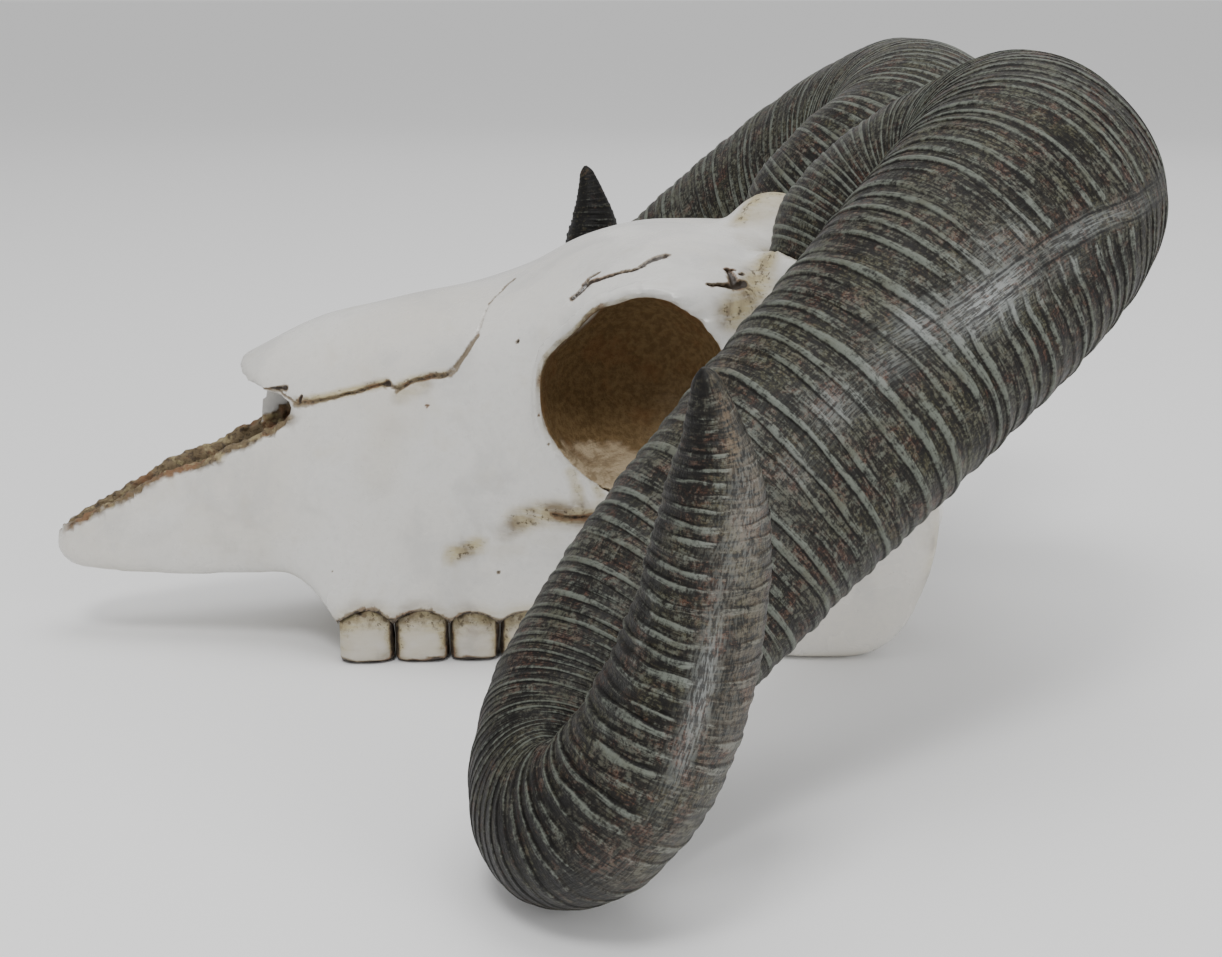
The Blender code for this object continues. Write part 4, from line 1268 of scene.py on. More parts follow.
    def horn_boss(self, side: Side, horn: HornForm) -> bpy.types.Object:
        """The bony stump that carries a horn.

        Args:
            side: of the animal.
            horn: the sweep that it leads to.
        Returns:
            The stump.
        """
        seat, keel, across = horn.centre[0], horn.keel[0], horn.across[0]
        a = full_turn(60)[:, None]
        rings = []
        for share in np.linspace(0.0, 1.0, 12):
            middle = np.array(self.boss_root) * (1 - share) + seat * share
            radius = self.boss_radii[0] * (1 - share) + self.boss_radii[1] * share
            rings.append(middle + radius * (keel * np.cos(a) + across * np.sin(a)))
        return loft("horn_boss", np.array(rings) * side.mirror())

    def foramen(self) -> bpy.types.Object:
        """The hollow at the back where the spine would enter, as the shape to cut away."""
        a = full_turn(48)
        rings = []
        for depth, share in self.foramen_bore:
            reach = self.foramen_radius * share
            ring = np.stack([0 * a - depth, reach * np.cos(a), reach * np.sin(a)], 1)
            rings.append(np.array(self.foramen_at) + ring)
        return loft("foramen", np.array(rings))

    def parts(self, side: Side, horn: HornForm) -> list[bpy.types.Object]:
        """The masses that are joined to the core on one side."""
        arch = tube("zygomatic_arch", tuple(np.array(self.arch) * side.mirror()), self.arch_radius)
        condyle = ball("condyle", tuple(np.array(self.condyle_at) * side.mirror()), self.condyle_radii)
        return [self.occipital_lobe(side), self.horn_boss(side, horn), arch, condyle]


@dataclass
class Orbit:
    """An eye socket, in axes of its own: back, up and out."""

    centre: tuple = (0.0158, 0.0610, 0.0886)
    radius: float = 0.0270
    taller: float = 1.06
    yaw: float = math.radians(15)
    rim_radius: float = 0.0032
    rim_shift: float = 0.6
    rounded_by: float = -0.030
    bowl_depths: tuple = (
        # distance out of the rim plane, share of the radius
        (0.0300, 1.06), (0.0040, 1.03), (0.0000, 1.00), (-0.0120, 1.01), (-0.0240, 0.88),
        (-0.0335, 0.58), (-0.0390, 0.20),
    )
    outline: Profile = (
        # degrees from the back upwards, share of the radius
        (-180, 1.04), (-160, 1.06), (-137, 1.04), (-110, 1.05), (-60, 1.03), (0, 1.03), (30, 1.06),
        (55, 1.04), (78, 1.02), (90, 0.99), (100, 0.945), (115, 0.94), (137, 0.90), (150, 0.96),
        (163, 1.03), (180, 1.04),
    )

    def axes(self, side: Side) -> np.ndarray:
        """Rows that point back, up and out of the socket."""
        c, s = math.cos(self.yaw), math.sin(self.yaw)
        return np.array([[c, side.value * s, 0.0], [0.0, 0.0, 1.0], [-s, side.value * c, 0.0]])

    def placed(self, own: np.ndarray, side: Side) -> np.ndarray:
        """Points given in the socket's own axes, in the model's."""
        return np.array(self.centre) * side.mirror() + own @ self.axes(side)

    def own(self, points: np.ndarray, side: Side) -> np.ndarray:
        """Points of the model in the socket's own axes."""
        return (points - np.array(self.centre) * side.mirror()) @ self.axes(side).T

    def edge(self, angle: np.ndarray) -> np.ndarray:
        """Share of the radius that the edge has at each angle."""
        degrees = (np.degrees(angle) + 180) % 360 - 180
        return smooth_curve(self.outline, degrees)

    def share(self, own: np.ndarray) -> tuple[np.ndarray, np.ndarray]:
        """Angle round the socket, and distance from its axis as a share of that of the edge there."""
        angle = np.arctan2(own[:, 1] / self.taller, own[:, 0])
        return angle, np.hypot(own[:, 0], own[:, 1] / self.taller) / (self.radius * self.edge(angle))

    def bowl(self, side: Side) -> bpy.types.Object:
        """The hollow of the socket, as the shape to cut away. Its outline grows round with depth."""
        a = full_turn(120)
        depth, share = np.array(self.bowl_depths).T
        out = np.linspace(depth[0], depth[-1], 60)
        reach = self.radius * smooth_curve(np.stack([-depth, share], 1), -out)[:, None]
        deep = ease(0.0, self.rounded_by, out)[:, None]
        reach = reach * (self.edge(a)[None, :] * (1 - deep) + deep)
        own = np.stack([reach * np.cos(a), reach * self.taller * np.sin(a), out[:, None] + 0 * reach], -1)
        return loft("orbit_bowl", self.placed(own.reshape(-1, 3), side).reshape(own.shape))

    def rim(self, side: Side) -> bpy.types.Object:
        """The raised edge round the socket, bent to its outline."""
        shift = self.rim_shift * self.rim_radius
        deselect()
        bpy.ops.mesh.primitive_torus_add(major_radius=self.radius + shift, minor_radius=self.rim_radius,
                                         major_segments=120, minor_segments=20)
        shape = bpy.context.object
        shape.name = "orbit_rim"
        own = coordinates(shape)
        reach = self.radius * np.minimum(self.edge(np.arctan2(own[:, 1], own[:, 0])), 1.0)
        own[:, :2] *= ((reach + shift) / (self.radius + shift))[:, None]
        own = own * (1.0, self.taller, 1.0) - (0.0, 0.0, shift)
        move_to(shape, self.placed(own, side))
        face_out(shape)
        return shape


@dataclass
class Nose:
    """The open nose: its side outline, its hollow, the plate in its middle and the slots in its floor."""

    opening: tuple = (
        (-0.1900, 0.0360), (-0.1680, 0.0350), (-0.1600, 0.0388), (-0.1503, 0.0442), (-0.1392, 0.0502),
        (-0.1301, 0.0557), (-0.1206, 0.0588), (-0.1129, 0.0609), (-0.1096, 0.0642), (-0.1052, 0.0656),
        (-0.1008, 0.0674), (-0.0950, 0.0706), (-0.0908, 0.0734), (-0.0848, 0.0763),
        (-0.0860, 0.0788), (-0.0979, 0.0826), (-0.1049, 0.0858), (-0.1060, 0.0884), (-0.1052, 0.0915),
        (-0.1030, 0.0990), (-0.1200, 0.1150), (-0.1900, 0.1150),
    )
    broken_points: tuple = (1, 16)
    cavity: tuple = (
        # x, half width, floor, roof
        (-0.1780, 0.0022, 0.0320, 0.0900), (-0.1640, 0.0030, 0.0315, 0.0900),
        (-0.1560, 0.0056, 0.0300, 0.0900), (-0.1450, 0.0076, 0.0305, 0.0890),
        (-0.1250, 0.0094, 0.0320, 0.0870), (-0.1040, 0.0112, 0.0350, 0.0870),
        (-0.0850, 0.0150, 0.0400, 0.0950), (-0.0650, 0.0160, 0.0460, 0.0990),
        (-0.0480, 0.0120, 0.0560, 0.0960), (-0.0400, 0.0040, 0.0680, 0.0860),
    )
    squareness: float = 0.75
    cut_half_width: float = 0.0600
    septum_thickness: float = 0.0030
    septum: tuple = (
        (-0.0970, 0.0480), (-0.1012, 0.0685), (-0.0984, 0.0800), (-0.0970, 0.0880), (-0.0420, 0.0960),
        (-0.0420, 0.0480),
    )
    septum_painted: Profile = ((-0.1020, 0.0690), (-0.0960, 0.0728), (-0.0925, 0.0750), (-0.0840, 0.0772))
    fissure_x: tuple = (-0.1530, -0.1180)
    fissure_y: float = 0.0052
    fissure_half_width: float = 0.0021
    fissure_heights: tuple = (0.0150, 0.0400)

    def prism(self, name: str, outline: tuple, half_width: float) -> bpy.types.Object:
        """A prism across the skull with this side outline."""
        return loft(name, np.array([[(x, y, z) for x, z in outline] for y in (-half_width, half_width)]))

    def broken_edge(self) -> np.ndarray:
        """The stretch of the opening's outline that is broken bone, as corners of x and height."""
        return np.array(self.opening[slice(*self.broken_points)])

    def hollow(self) -> bpy.types.Object:
        """The hollow, open to the front and above the lower edge, as the shape to cut away."""
        x = np.linspace(self.cavity[0][0], self.cavity[-1][0], 80)
        width, floor, roof = read_table(self.cavity, x)
        a = full_turn(64)[None, :]
        y = width[:, None] * squared(np.cos(a), self.squareness)
        z = between(floor, roof, squared(np.sin(a), self.squareness))
        return loft("nose_hollow", np.stack([x[:, None] + 0 * y, y, z], -1))

    def fissure(self, side: Side) -> bpy.types.Object:
        """A long slot through the floor of the nose, as the shape to cut away."""
        front, back = self.fissure_x
        a = full_turn(40)
        x = (front + back) / 2 + (back - front) / 2 * np.cos(a)
        y = side.value * self.fissure_y + self.fissure_half_width * np.sin(a)
        rings = [np.stack([x, y, 0 * x + z], 1) for z in self.fissure_heights]
        return loft("nose_fissure", np.array(rings))


@dataclass
class ToothRow:
    """Six worn cheek teeth a side, each in an arched socket of the jaw."""

    side: Side
    finish: bpy.types.Material
    edges: tuple = (-0.0745, -0.0571, -0.0399, -0.0243, -0.0075, 0.0092, 0.0259)
    gap: float = 0.0007
    breadth: float = 0.0158
    outer_y: float = 0.0404
    foot: float = 0.0128
    arch: tuple = (0.0176, 0.0173, 0.0170, 0.0172, 0.0168, 0.0160)
    arch_fullness: tuple = (0.15, 0.55, 0.25, 0.45, 0.35, 0.40)
    arch_shift: tuple = (0.10, 0.02, -0.04, 0.05, -0.03, 0.0)
    play: float = 0.0005
    socket_reach: float = 0.0060
    socket_low: float = -0.004
    socket_squareness: float = 0.2
    squareness: float = 0.42
    outer_inset: float = 0.0002
    wear_height: float = 0.0014
    wear_along: float = 0.05
    wear_across: float = 0.0014
    bulge_along: float = 0.0010
    bulge_up: float = 0.0007
    bulge_inset: float = 0.0012
    unevenness: float = 0.00016
    foot_rings: int = 24
    arch_rings: int = 22
    columns: int = 72
    # the brown wash: how far it reaches down from the top, and its darker line there
    brown_drop: float = 0.0042
    brown_reach: tuple = (0.0096, 0.0012)
    line_reach: tuple = (0.0010, 0.0)
    side_reach: tuple = (0.50, 0.85)
    side_line: tuple = (0.76, 0.88)
    front_share: float = 0.7
    floor_line: tuple = (0.0021, 0.0006)

    def span(self, index: int) -> tuple[float, float]:
        """Middle and half length of the stretch of jaw that a tooth takes."""
        front, back = self.edges[index : index + 2]
        return (front + back) / 2, (back - front) / 2

    def heights(self, low: float, top: float) -> np.ndarray:
        """Heights of the rings: even up to the foot of the arch, closer together towards its top."""
        arch = self.foot + (top - self.foot) * np.sin(np.linspace(0, math.pi / 2, self.arch_rings))
        return np.concatenate([np.linspace(low, self.foot, self.foot_rings, endpoint=False), arch])[:, None]

    def block(self, index: int, socket: bool) -> np.ndarray:
        """Rings of one tooth, or of the socket that takes it, from the floor up.

        Args:
            index: number of the tooth, from the front.
            socket: whether the rings are those of its socket.
        Returns:
            Array of ring, point and coordinate.
        """
        middle, half = self.span(index)
        half = half - self.gap / 2 + (self.play if socket else 0.0)
        top = self.arch[index] + (0.0 if socket else -self.play)
        height = self.heights(self.socket_low if socket else 0.0, top)
        rise = np.clip((height - self.foot) / (top - self.foot), 0.0, 1.0 - 1e-4)
        full = self.arch_fullness[index]
        narrow = full * np.sqrt(1 - rise**2) + (1 - full) * np.arccos(rise) * 2 / math.pi
        lean = self.arch_shift[index] * half * rise
        a = full_turn(self.columns)[None, :]
        power = self.socket_squareness if socket else self.squareness
        long, wide = squared(np.cos(a), power), squared(np.sin(a), power)
        outer, inner = self.outer_y, self.outer_y - self.breadth
        if socket:
            outer, inner = outer + self.socket_reach, inner - self.play
        else:
            outer = outer - self.outer_inset
        x = middle + lean + half * np.maximum(narrow, 0.02) * long
        y = (outer + inner) / 2 + (outer - inner) / 2 * wide + 0 * x
        if not socket:
            worn = ease(self.wear_height, 0.0, height)
            x = middle + (x - middle) * (1 - self.wear_along * worn)
            bulge = self.bulge_along * np.cos(np.clip((x - middle) / half, -1, 1) * math.pi / 2)
            bulge = bulge + self.bulge_up * np.sin(np.clip(height / self.foot, 0, 1) * math.pi)
            y = y + (bulge - self.wear_across * worn - self.bulge_inset) * wide
            wobble = self.unevenness * waves(60 + index, 10, 5, a, height / self.foot)
            x, y = x + wobble * long, y + wobble * wide
        return np.stack([x, self.side.value * y, height + 0 * x], -1)

    def from_arch(self, points: np.ndarray, index: int) -> np.ndarray:
        """Distance of points from the edge of a tooth's socket in side view.

        Args:
            points: one a row.
            index: number of the tooth, from the front.
        Returns:
            The distance of each point that is close to the socket, and FAR for the others.
        """
        middle, half = self.span(index)
        x, y, z = points.T
        near = (np.abs(x - middle) < 1.25 * half) & (y * self.side.value > 0.02) & (z < 0.024)
        socket = self.block(index, True)[self.foot_rings :]
        edge = np.concatenate([socket[:, self.columns // 2, [0, 2]], socket[::-1, 0, [0, 2]]])
        away = np.full(len(points), FAR)
        away[near] = to_path(points[near][:, [0, 2]], edge)[0]
        return away

    def sockets(self) -> list[bpy.types.Object]:
        """The cutters that open the jaw for the teeth."""
        return [loft("tooth_socket", self.block(index, True)) for index in range(len(self.arch))]

    def wash(self, tooth: bpy.types.Object, index: int) -> None:
        """Stores the brown wash on the top and sides of one tooth, and a dark line along its foot at the
        floor.

        Args:
            tooth: the tooth.
            index: its number, from the front.
        """
        x, _, z = coordinates(tooth).T
        middle, half = self.span(index)
        across = np.abs(x - middle) / half
        wander = waves(80 + index, 12, 4, x * 260, z * 300)
        to_top = (self.arch[index] - self.brown_drop * across**2) - z + 0.0006 * wander
        if index == 0:
            across = np.where(x < middle, self.front_share * across, across)
        sides = ease(*self.side_reach, across + 0.04 * wander) * ease(-0.004, 0.007, z)
        brown = np.maximum(ease(*self.brown_reach, to_top), 0.85 * sides)
        top_line, side_line = ease(*self.line_reach, to_top), ease(*self.side_line, across + 0.015 * wander)
        # a dark line along the tooth's foot at the floor
        floor = ease(*self.floor_line, z + 0.0004 * wander)
        antique = greatest(0.36 * brown, 0.85 * top_line, 0.935 * side_line, 0.95 * floor)
        nothing = np.zeros_like(x)
        paint(tooth, antique=antique, stain=np.clip(0.30 + 0.08 * wander + 0.68 * brown, 0, 1),
              raw=nothing, hollow=nothing, tan=nothing)

    def build(self) -> bpy.types.Object:
        """The six teeth as one piece.

        Returns:
            The piece, with what its finish reads stored on it.
        """
        teeth = []
        for index in range(len(self.arch)):
            tooth = loft(f"tooth_{index}", self.block(index, False))
            self.wash(tooth, index)
            teeth.append(tooth)
        row = join(teeth)
        row.name = f"teeth_{self.side.name.lower()}"
        dress(row, self.finish)
        return row


@dataclass(frozen=True)
class Crack:
    """A crack, seam or dent, measured on the right side in millimetres and made on both sides."""

    path: tuple
    width: tuple  # at its first and last point, mm
    depth: float  # mm
    tone: float
    ragged: float = 0.25  # mm
    lips: float = 0.0  # mm


@dataclass(frozen=True)
class Stain:
    """A soft patch of brown wash, measured as a crack is."""

    path: tuple
    reach: float  # mm
    tone: float


class Skin:
    """The corners of the bone, and by name a number from 0 to 1 for each, for the finish to read."""

    def __init__(self, shape: bpy.types.Object) -> None:
        """Reads the corners of a mesh, with nothing painted."""
        self.points, self.out = coordinates(shape), normals(shape)
        names = ("antique", "stain", "raw", "hollow", "tan")
        self.paint = {name: np.zeros(len(self.points)) for name in names}

    def add(self, name: str, value: np.ndarray, where: np.ndarray | slice = slice(None)) -> None:
        """Raises the numbers of one name to these, at some corners or at all of them."""
        layer = self.paint[name]
        layer[where] = np.maximum(layer[where], value)


@dataclass
class Skull:
    """The bone: joined masses, smoothed, opened, then cracked and stained."""

    form: SkullForm
    orbit: Orbit
    nose: Nose
    horn: HornForm
    finish: bpy.types.Material
    coarse: float = 0.0017
    even: float = 0.0023
    soften_masses: int = 7
    soften_cuts: int = 2
    sharp_angle: float = math.radians(50)
    near_crack: float = 0.0020
    nearer: float = 0.38
    crack_reach: float = 0.006
    path_step: float = 0.0008
    wander_length: float = 0.022
    seat_length: float = 0.16
    seat_inset: float = 0.0019
    root_line: float = 0.0012
    root_reach: float = 0.012
    broken_relief: float = 0.00030
    smooth_relief: float = 0.00014
    notch_at: float = math.radians(138)
    stained_towards: float = math.radians(140)
    cracks: tuple = (
        Crack(((-18, 12, 116), (-22, 18, 113), (-26, 23, 110)), (0.9, 0.6), 0.5, 0.62, 0.3),
        Crack(((-26, 23, 110), (-28, 28, 106), (-29.5, 31, 101.5)), (0.5, 0.9), 0.35, 0.32, 0.3),
        Crack(((-29.5, 31, 101.5), (-33, 32, 97), (-36.5, 33, 92), (-38.5, 32.6, 90)),
              (1.0, 2.2), 0.7, 0.50, 0.3, 0.25),
        Crack(((-38, 32.7, 90.5), (-41, 32, 89.3), (-44.4, 31.2, 88.8), (-47.5, 30.3, 88.2),
               (-50.3, 29.8, 87.1), (-52.6, 29.5, 85.9), (-54.5, 29.2, 85.1), (-56.3, 28.4, 85.6),
               (-57.9, 27.8, 86.2), (-64.6, 26.3, 84.4), (-69.3, 25.3, 83), (-74, 24.3, 81.7),
               (-78, 23.3, 80.6), (-86.4, 21.1, 79)),
              (1.1, 1.1), 0.8, 0.72, 0.16, 0.30),
        Crack(((-57.4, 27.9, 86.4), (-58.4, 27.7, 86.0)), (1.9, 1.9), 0.8, 0.95, 0.0),
        Crack(((-53.8, 29.4, 85.6), (-54.8, 29.1, 84.3)), (1.3, 1.3), 0.6, 0.60, 0.2),
        Crack(((-68, 25.4, 83.2), (-76, 23.6, 81), (-87, 21, 78.4)), (0.6, 2.4), 0.4, 0.45, 0.2, 0.2),
        Crack(((-97.5, 16, 82.6), (-93.6, 17.6, 81.9), (-90.3, 19.3, 80.8), (-86, 21, 79)),
              (0.8, 1.0), 0.6, 0.55),
        Crack(((-95.8, 16.4, 82.9), (-93, 17.3, 83.3), (-89.5, 18.3, 84)), (0.5, 1.4), 0.5, 0.9),
        Crack(((-85.5, 21.2, 79.8), (-84.8, 21.1, 81.6)), (1.4, 1.1), 0.6, 0.9),
        Crack(((-1.1, 42.7, 114.3), (1.9, 41.5, 116.9), (4.6, 41.1, 118.7), (7.2, 42.6, 119.7)),
              (1.8, 1.4), 0.9, 1.0, 0.25, 0.1),
        Crack(((7.2, 42.6, 119.7), (11.4, 44.6, 121.3), (17.1, 46.9, 122.9), (19.7, 47.3, 124)),
              (1.3, 1.5), 0.8, 0.86, 0.25, 0.1),
        Crack(((19.2, 47, 123.7), (22.5, 45.2, 125.5), (26.5, 43.9, 127)), (1.9, 2.1), 0.9, 0.84, 0.2, 0.1),
        Crack(((2.6, 39.9, 118), (4.8, 38.6, 120), (7.4, 39, 121.4)), (1.3, 0.5), 0.8, 0.95, 0.15),
        Crack(((37.3, 60.6, 120.8), (40.6, 60.1, 120.6), (43.9, 59.2, 119.9), (48.8, 55.3, 120.3)),
              (1.0, 3.0), 1.3, 0.95, 0.35, 0.2),
        Crack(((45.6, 58, 120.5), (45.0, 53.9, 122.3), (44.0, 51.4, 123.7)),
              (2.4, 2.2), 1.1, 0.85, 0.3, 0.2),
        Crack(((43.4, 52.0, 123.6), (46.6, 50.6, 123.9)), (1.6, 1.0), 0.7, 0.85, 0.2),
        Crack(((47.9, 51.6, 122.2), (48.9, 50.4, 122.4)), (1.2, 1.1), 0.6, 0.9),
        Crack(((-8.4, 54.1, 50.9), (-6.9, 54.6, 50.3), (-3.3, 55.5, 49.9), (-0.6, 55.9, 50.0),
               (7.0, 58.2, 49.8)), (0.9, 3.6), 1.0, 0.70, 0.35),
        Crack(((6.3, 58.4, 62.2), (8.3, 59.2, 61.3), (11, 59, 60.6)), (0.8, 1.7), 0.9, 0.95, 0.2),
        Crack(((-17.8, 38.9, 101), (-17.6, 38.9, 101.2)), (1.0, 1.0), 0.5, 1.0, 0.0),
        Crack(((-45.5, 32.9, 80.5), (-45.1, 32.9, 80.3)), (0.9, 0.9), 0.4, 0.9, 0.0),
        Crack(((-12.3, 54.3, 81.1), (-12.2, 54.3, 81.4)), (0.6, 0.6), 0.3, 0.8, 0.0),
        Crack(((-9.5, 55.1, 72.4), (-9.3, 55.1, 72.5)), (0.8, 0.8), 0.4, 1.0, 0.0),
        Crack(((-24.5, 46.7, 30.8), (-24.2, 46.7, 30.8)), (0.8, 0.8), 0.4, 0.8, 0.0),
        Crack(((-75.9, 34.9, 28.7), (-75.7, 34.9, 28.7)), (0.6, 0.6), 0.3, 0.7, 0.0),
    )
    stains: tuple = (
        Stain(((-18.9, 50.1, 47.5), (-15.8, 50.9, 48.9), (-11.6, 52.4, 50.8), (-6.9, 54.7, 51.6),
               (-3.9, 54.8, 51.3), (-0.9, 55.2, 50.7), (7, 58.2, 50.0)), 3.6, 0.88),
        Stain(((-9.5, 53.6, 51.0), (-6.9, 54.6, 50.5), (-3.3, 55.5, 50.1), (7, 58.2, 50.0)), 2.4, 1.0),
        Stain(((-22, 48.5, 43.5), (-19, 49.5, 46.5)), 3.2, 0.40),
        Stain(((-39, 43.4, 35.6), (-35, 44.5, 37.2), (-30.5, 46, 39.6)), 2.4, 0.95),
        Stain(((-25, 47.4, 37.6), (-18, 50.2, 39.0)), 2.6, 0.22),
        Stain(((-2.5, 56.3, 64.5), (-0.3, 57, 59.2), (0.8, 57.1, 53)), 1.7, 0.66),
        Stain(((2.4, 57.6, 64.7), (4.3, 58.8, 62), (6.0, 59.2, 58)), 1.6, 0.66),
        Stain(((-58, 27.6, 86.7), (-64.6, 26.3, 85), (-70, 25.2, 83.4), (-78, 23.3, 81.2),
               (-88, 21, 79.4)), 1.3, 1.0),
        Stain(((-40, 32, 90.0), (-44.4, 31.2, 89.4), (-50.3, 29.8, 87.7), (-54.5, 29.2, 85.7)), 1.2, 0.85),
        Stain(((-46, 31, 86.5), (-50, 30.3, 84.8), (-54, 30, 83.0)), 2.4, 0.52),
        Stain(((57.2, 44.9, 127.2), (55.8, 46.5, 124.5), (54.4, 48.5, 121.8), (52.8, 52.1, 119.3),
               (50.3, 57.6, 117.5), (47.8, 61.5, 115.7), (45.5, 63.6, 114.3), (43.9, 64.9, 112.7)),
              4.6, 0.90),
        Stain(((52.8, 52.1, 119.3), (50.3, 57.6, 117.5), (47.8, 61.5, 115.7), (43.9, 64.9, 112.7)),
              3.0, 1.0),
        Stain(((53.0, 9.0, 135.0), (56.3, 5.1, 139.1), (60, 2.5, 140.8), (68, 0.5, 142)), 3.8, 0.85),
        Stain(((60, 8, 137), (66, 6, 140), (72, 4, 140)), 6.5, 0.60),
        Stain(((-17, 49, 45), (-8, 52, 43)), 3.0, 0.14),
        Stain(((-60, 34, 72), (-62, 34, 60)), 7.0, 0.10),
        Stain(((-118, 19, 40), (-100, 22, 34)), 6.0, 0.12),
    )
    dents: tuple = (
        # right side, mm: middle of the dent, reach, depth (less than nothing is a swelling)
        ((-14, 53, 50.5), 5.0, 1.0), ((-10, 53, 43.5), 5.5, -0.9), ((-28, 47, 58), 12.0, -0.8),
        ((-60, 35, 55), 14.0, 0.8), ((-95, 24, 46), 12.0, -0.6), ((-62, 27, 88), 9.0, -0.4),
    )

    def build(self, rows: list[ToothRow]) -> bpy.types.Object:
        """The finished skull.

        Args:
            rows: the teeth that it gets sockets for.
        Returns:
            The piece, with what its finish reads stored on it.
        """
        shape = self.masses()
        self.open_up(shape)
        self.even_out(shape, self.even, self.soften_cuts)
        for row in rows:
            for socket in row.sockets():
                cut(shape, socket)
        self.crack(shape, rows)
        shape.name = "skull_bone"
        shape.data.materials.clear()
        shape.data.materials.append(self.finish)
        take(shape)
        bpy.ops.object.shade_smooth_by_angle(angle=self.sharp_angle)
        return shape

    def even_out(self, shape: bpy.types.Object, size: float, rounds: int) -> None:
        """Gives a shape an even mesh and softens its edges."""
        apply(shape, "REMESH", mode="VOXEL", voxel_size=size, adaptivity=0.0)
        apply(shape, "SMOOTH", factor=0.5, iterations=rounds)

    def masses(self) -> bpy.types.Object:
        """The solid parts of the skull as one soft body."""
        parts = [self.form.core(), tube("nape_crest", self.form.nape, self.form.nape_radius),
                 ball("frontal_peak", self.form.peak_at, self.form.peak_radii)]
        for side in Side:
            parts += self.form.parts(side, self.horn) + [self.orbit.rim(side)]
        shape = join(parts)
        self.even_out(shape, self.coarse, self.soften_masses)
        return shape

    def open_up(self, shape: bpy.types.Object) -> None:
        """Cuts the nose, the orbits, the foramen and the seats of the horns."""
        nose = self.nose
        cut(shape, nose.prism("nose_opening", nose.opening, nose.cut_half_width))
        cut(shape, nose.hollow())
        cut(shape, nose.prism("septum", nose.septum, nose.septum_thickness / 2), "UNION")
        for side in Side:
            cut(shape, nose.fissure(side))
            cut(shape, self.orbit.bowl(side))
            cut(shape, self.seat(side))
        cut(shape, self.form.foramen())

    def seat(self, side: Side) -> bpy.types.Object:
        """The shape that clears room for a horn: the front of the horn's sweep, a little slimmer."""
        along = np.linspace(0.0, self.seat_length, 90)[:, None] + 0 * full_turn(72)[None, :]
        angle = full_turn(72)[None, :] + 0 * along
        points = self.horn.surface(along, angle, 0 * along - self.seat_inset)
        return loft("horn_seat", points * side.mirror())

    def drape(self, crack: Crack, points: np.ndarray, out: np.ndarray, seed: int) -> np.ndarray:
        """Lays the path of a crack on the surface.

        Args:
            crack: as measured on the right side.
            points: corners of the mesh on one side, mirrored to the right.
            out: their outward directions.
            seed: of the path's wander.
        Returns:
            Close points along the path.
        """
        knots = np.array(crack.path) / MM_PER_M
        length = np.linalg.norm(np.diff(knots, axis=0), axis=1).sum()
        laid = smooth_path(tuple(knots), max(3, int(length / self.path_step)))
        turn = np.linspace(0, 2 * math.pi * max(length / self.wander_length, 0.2), len(laid))
        for axis in range(3):
            laid[:, axis] += crack.ragged / MM_PER_M * 0.6 * waves(seed + axis, 6, 3, turn)
        for k, place in enumerate(laid):
            nearest = np.argmin(((points - place) ** 2).sum(1))
            laid[k] += out[nearest] * ((points[nearest] - place) @ out[nearest])
        return laid

    def lay_cracks(self, points: np.ndarray, out: np.ndarray) -> dict[tuple[Side, int], np.ndarray]:
        """Lays every crack on both sides of the skull.

        Args:
            points: corners of the mesh.
            out: their outward directions.
        Returns:
            Close points along each path, by side and number of the crack.
        """
        laid = {}
        for side in Side:
            mirror = side.mirror()
            own = (points * mirror)[:, 1] > -0.001
            for number, crack in enumerate(self.cracks):
                seed = 100 + 7 * number + (3 if side is Side.LEFT else 0)
                path = self.drape(crack, points[own] * mirror, out[own] * mirror, seed)
                laid[side, number] = path * mirror
        return laid

    def from_root(self, points: np.ndarray, side: Side) -> np.ndarray:
        """Distance of points from the edge of a horn's root.

        Args:
            points: one a row.
            side: of the horn.
        Returns:
            The distance of each point that is close to the root, and FAR for the others.
        """
        turn = np.linspace(0.0, 2 * math.pi, 73)
        ring = self.horn.surface(0 * turn + self.root_line, turn, 0 * turn) * side.mirror()
        close = near_path(points, ring, self.root_reach)
        away = np.full(len(points), FAR)
        away[close] = to_path(points[close], ring)[0]
        return away

    def painted_edges(self, points: np.ndarray, rows: list[ToothRow], reach: float) -> np.ndarray:
        """Which corners lie near an edge where the paint changes.

        Args:
            points: corners of the mesh.
            rows: the teeth, whose sockets have such an edge.
            reach: how near.
        Returns:
            Whether each corner lies near one.
        """
        x, y, z = points.T
        near = np.zeros(len(points), bool)
        for row in rows:
            outer = y * row.side.value > 0.036
            for index in range(len(row.arch)):
                near |= (row.from_arch(points, index) < 0.8 * reach) & outer
        for side in Side:
            own = self.orbit.own(points, side)
            from_rim = np.abs(self.orbit.share(own)[1] - 1.03) * self.orbit.radius
            near |= (from_rim < reach) & (np.abs(own[:, 2]) < 0.006)
            near |= self.from_root(points, side) < reach
        edge, _ = to_path(points[:, [0, 2]], self.nose.broken_edge())
        near |= (edge < 0.8 * reach) & (x < -0.084) & (np.abs(y) < 0.022)
        painted = smooth_curve(self.nose.septum_painted, x)
        near |= (np.abs(z - painted) < reach) & (np.abs(y) < 0.0035) & (x > -0.103) & (x < -0.083)
        return near

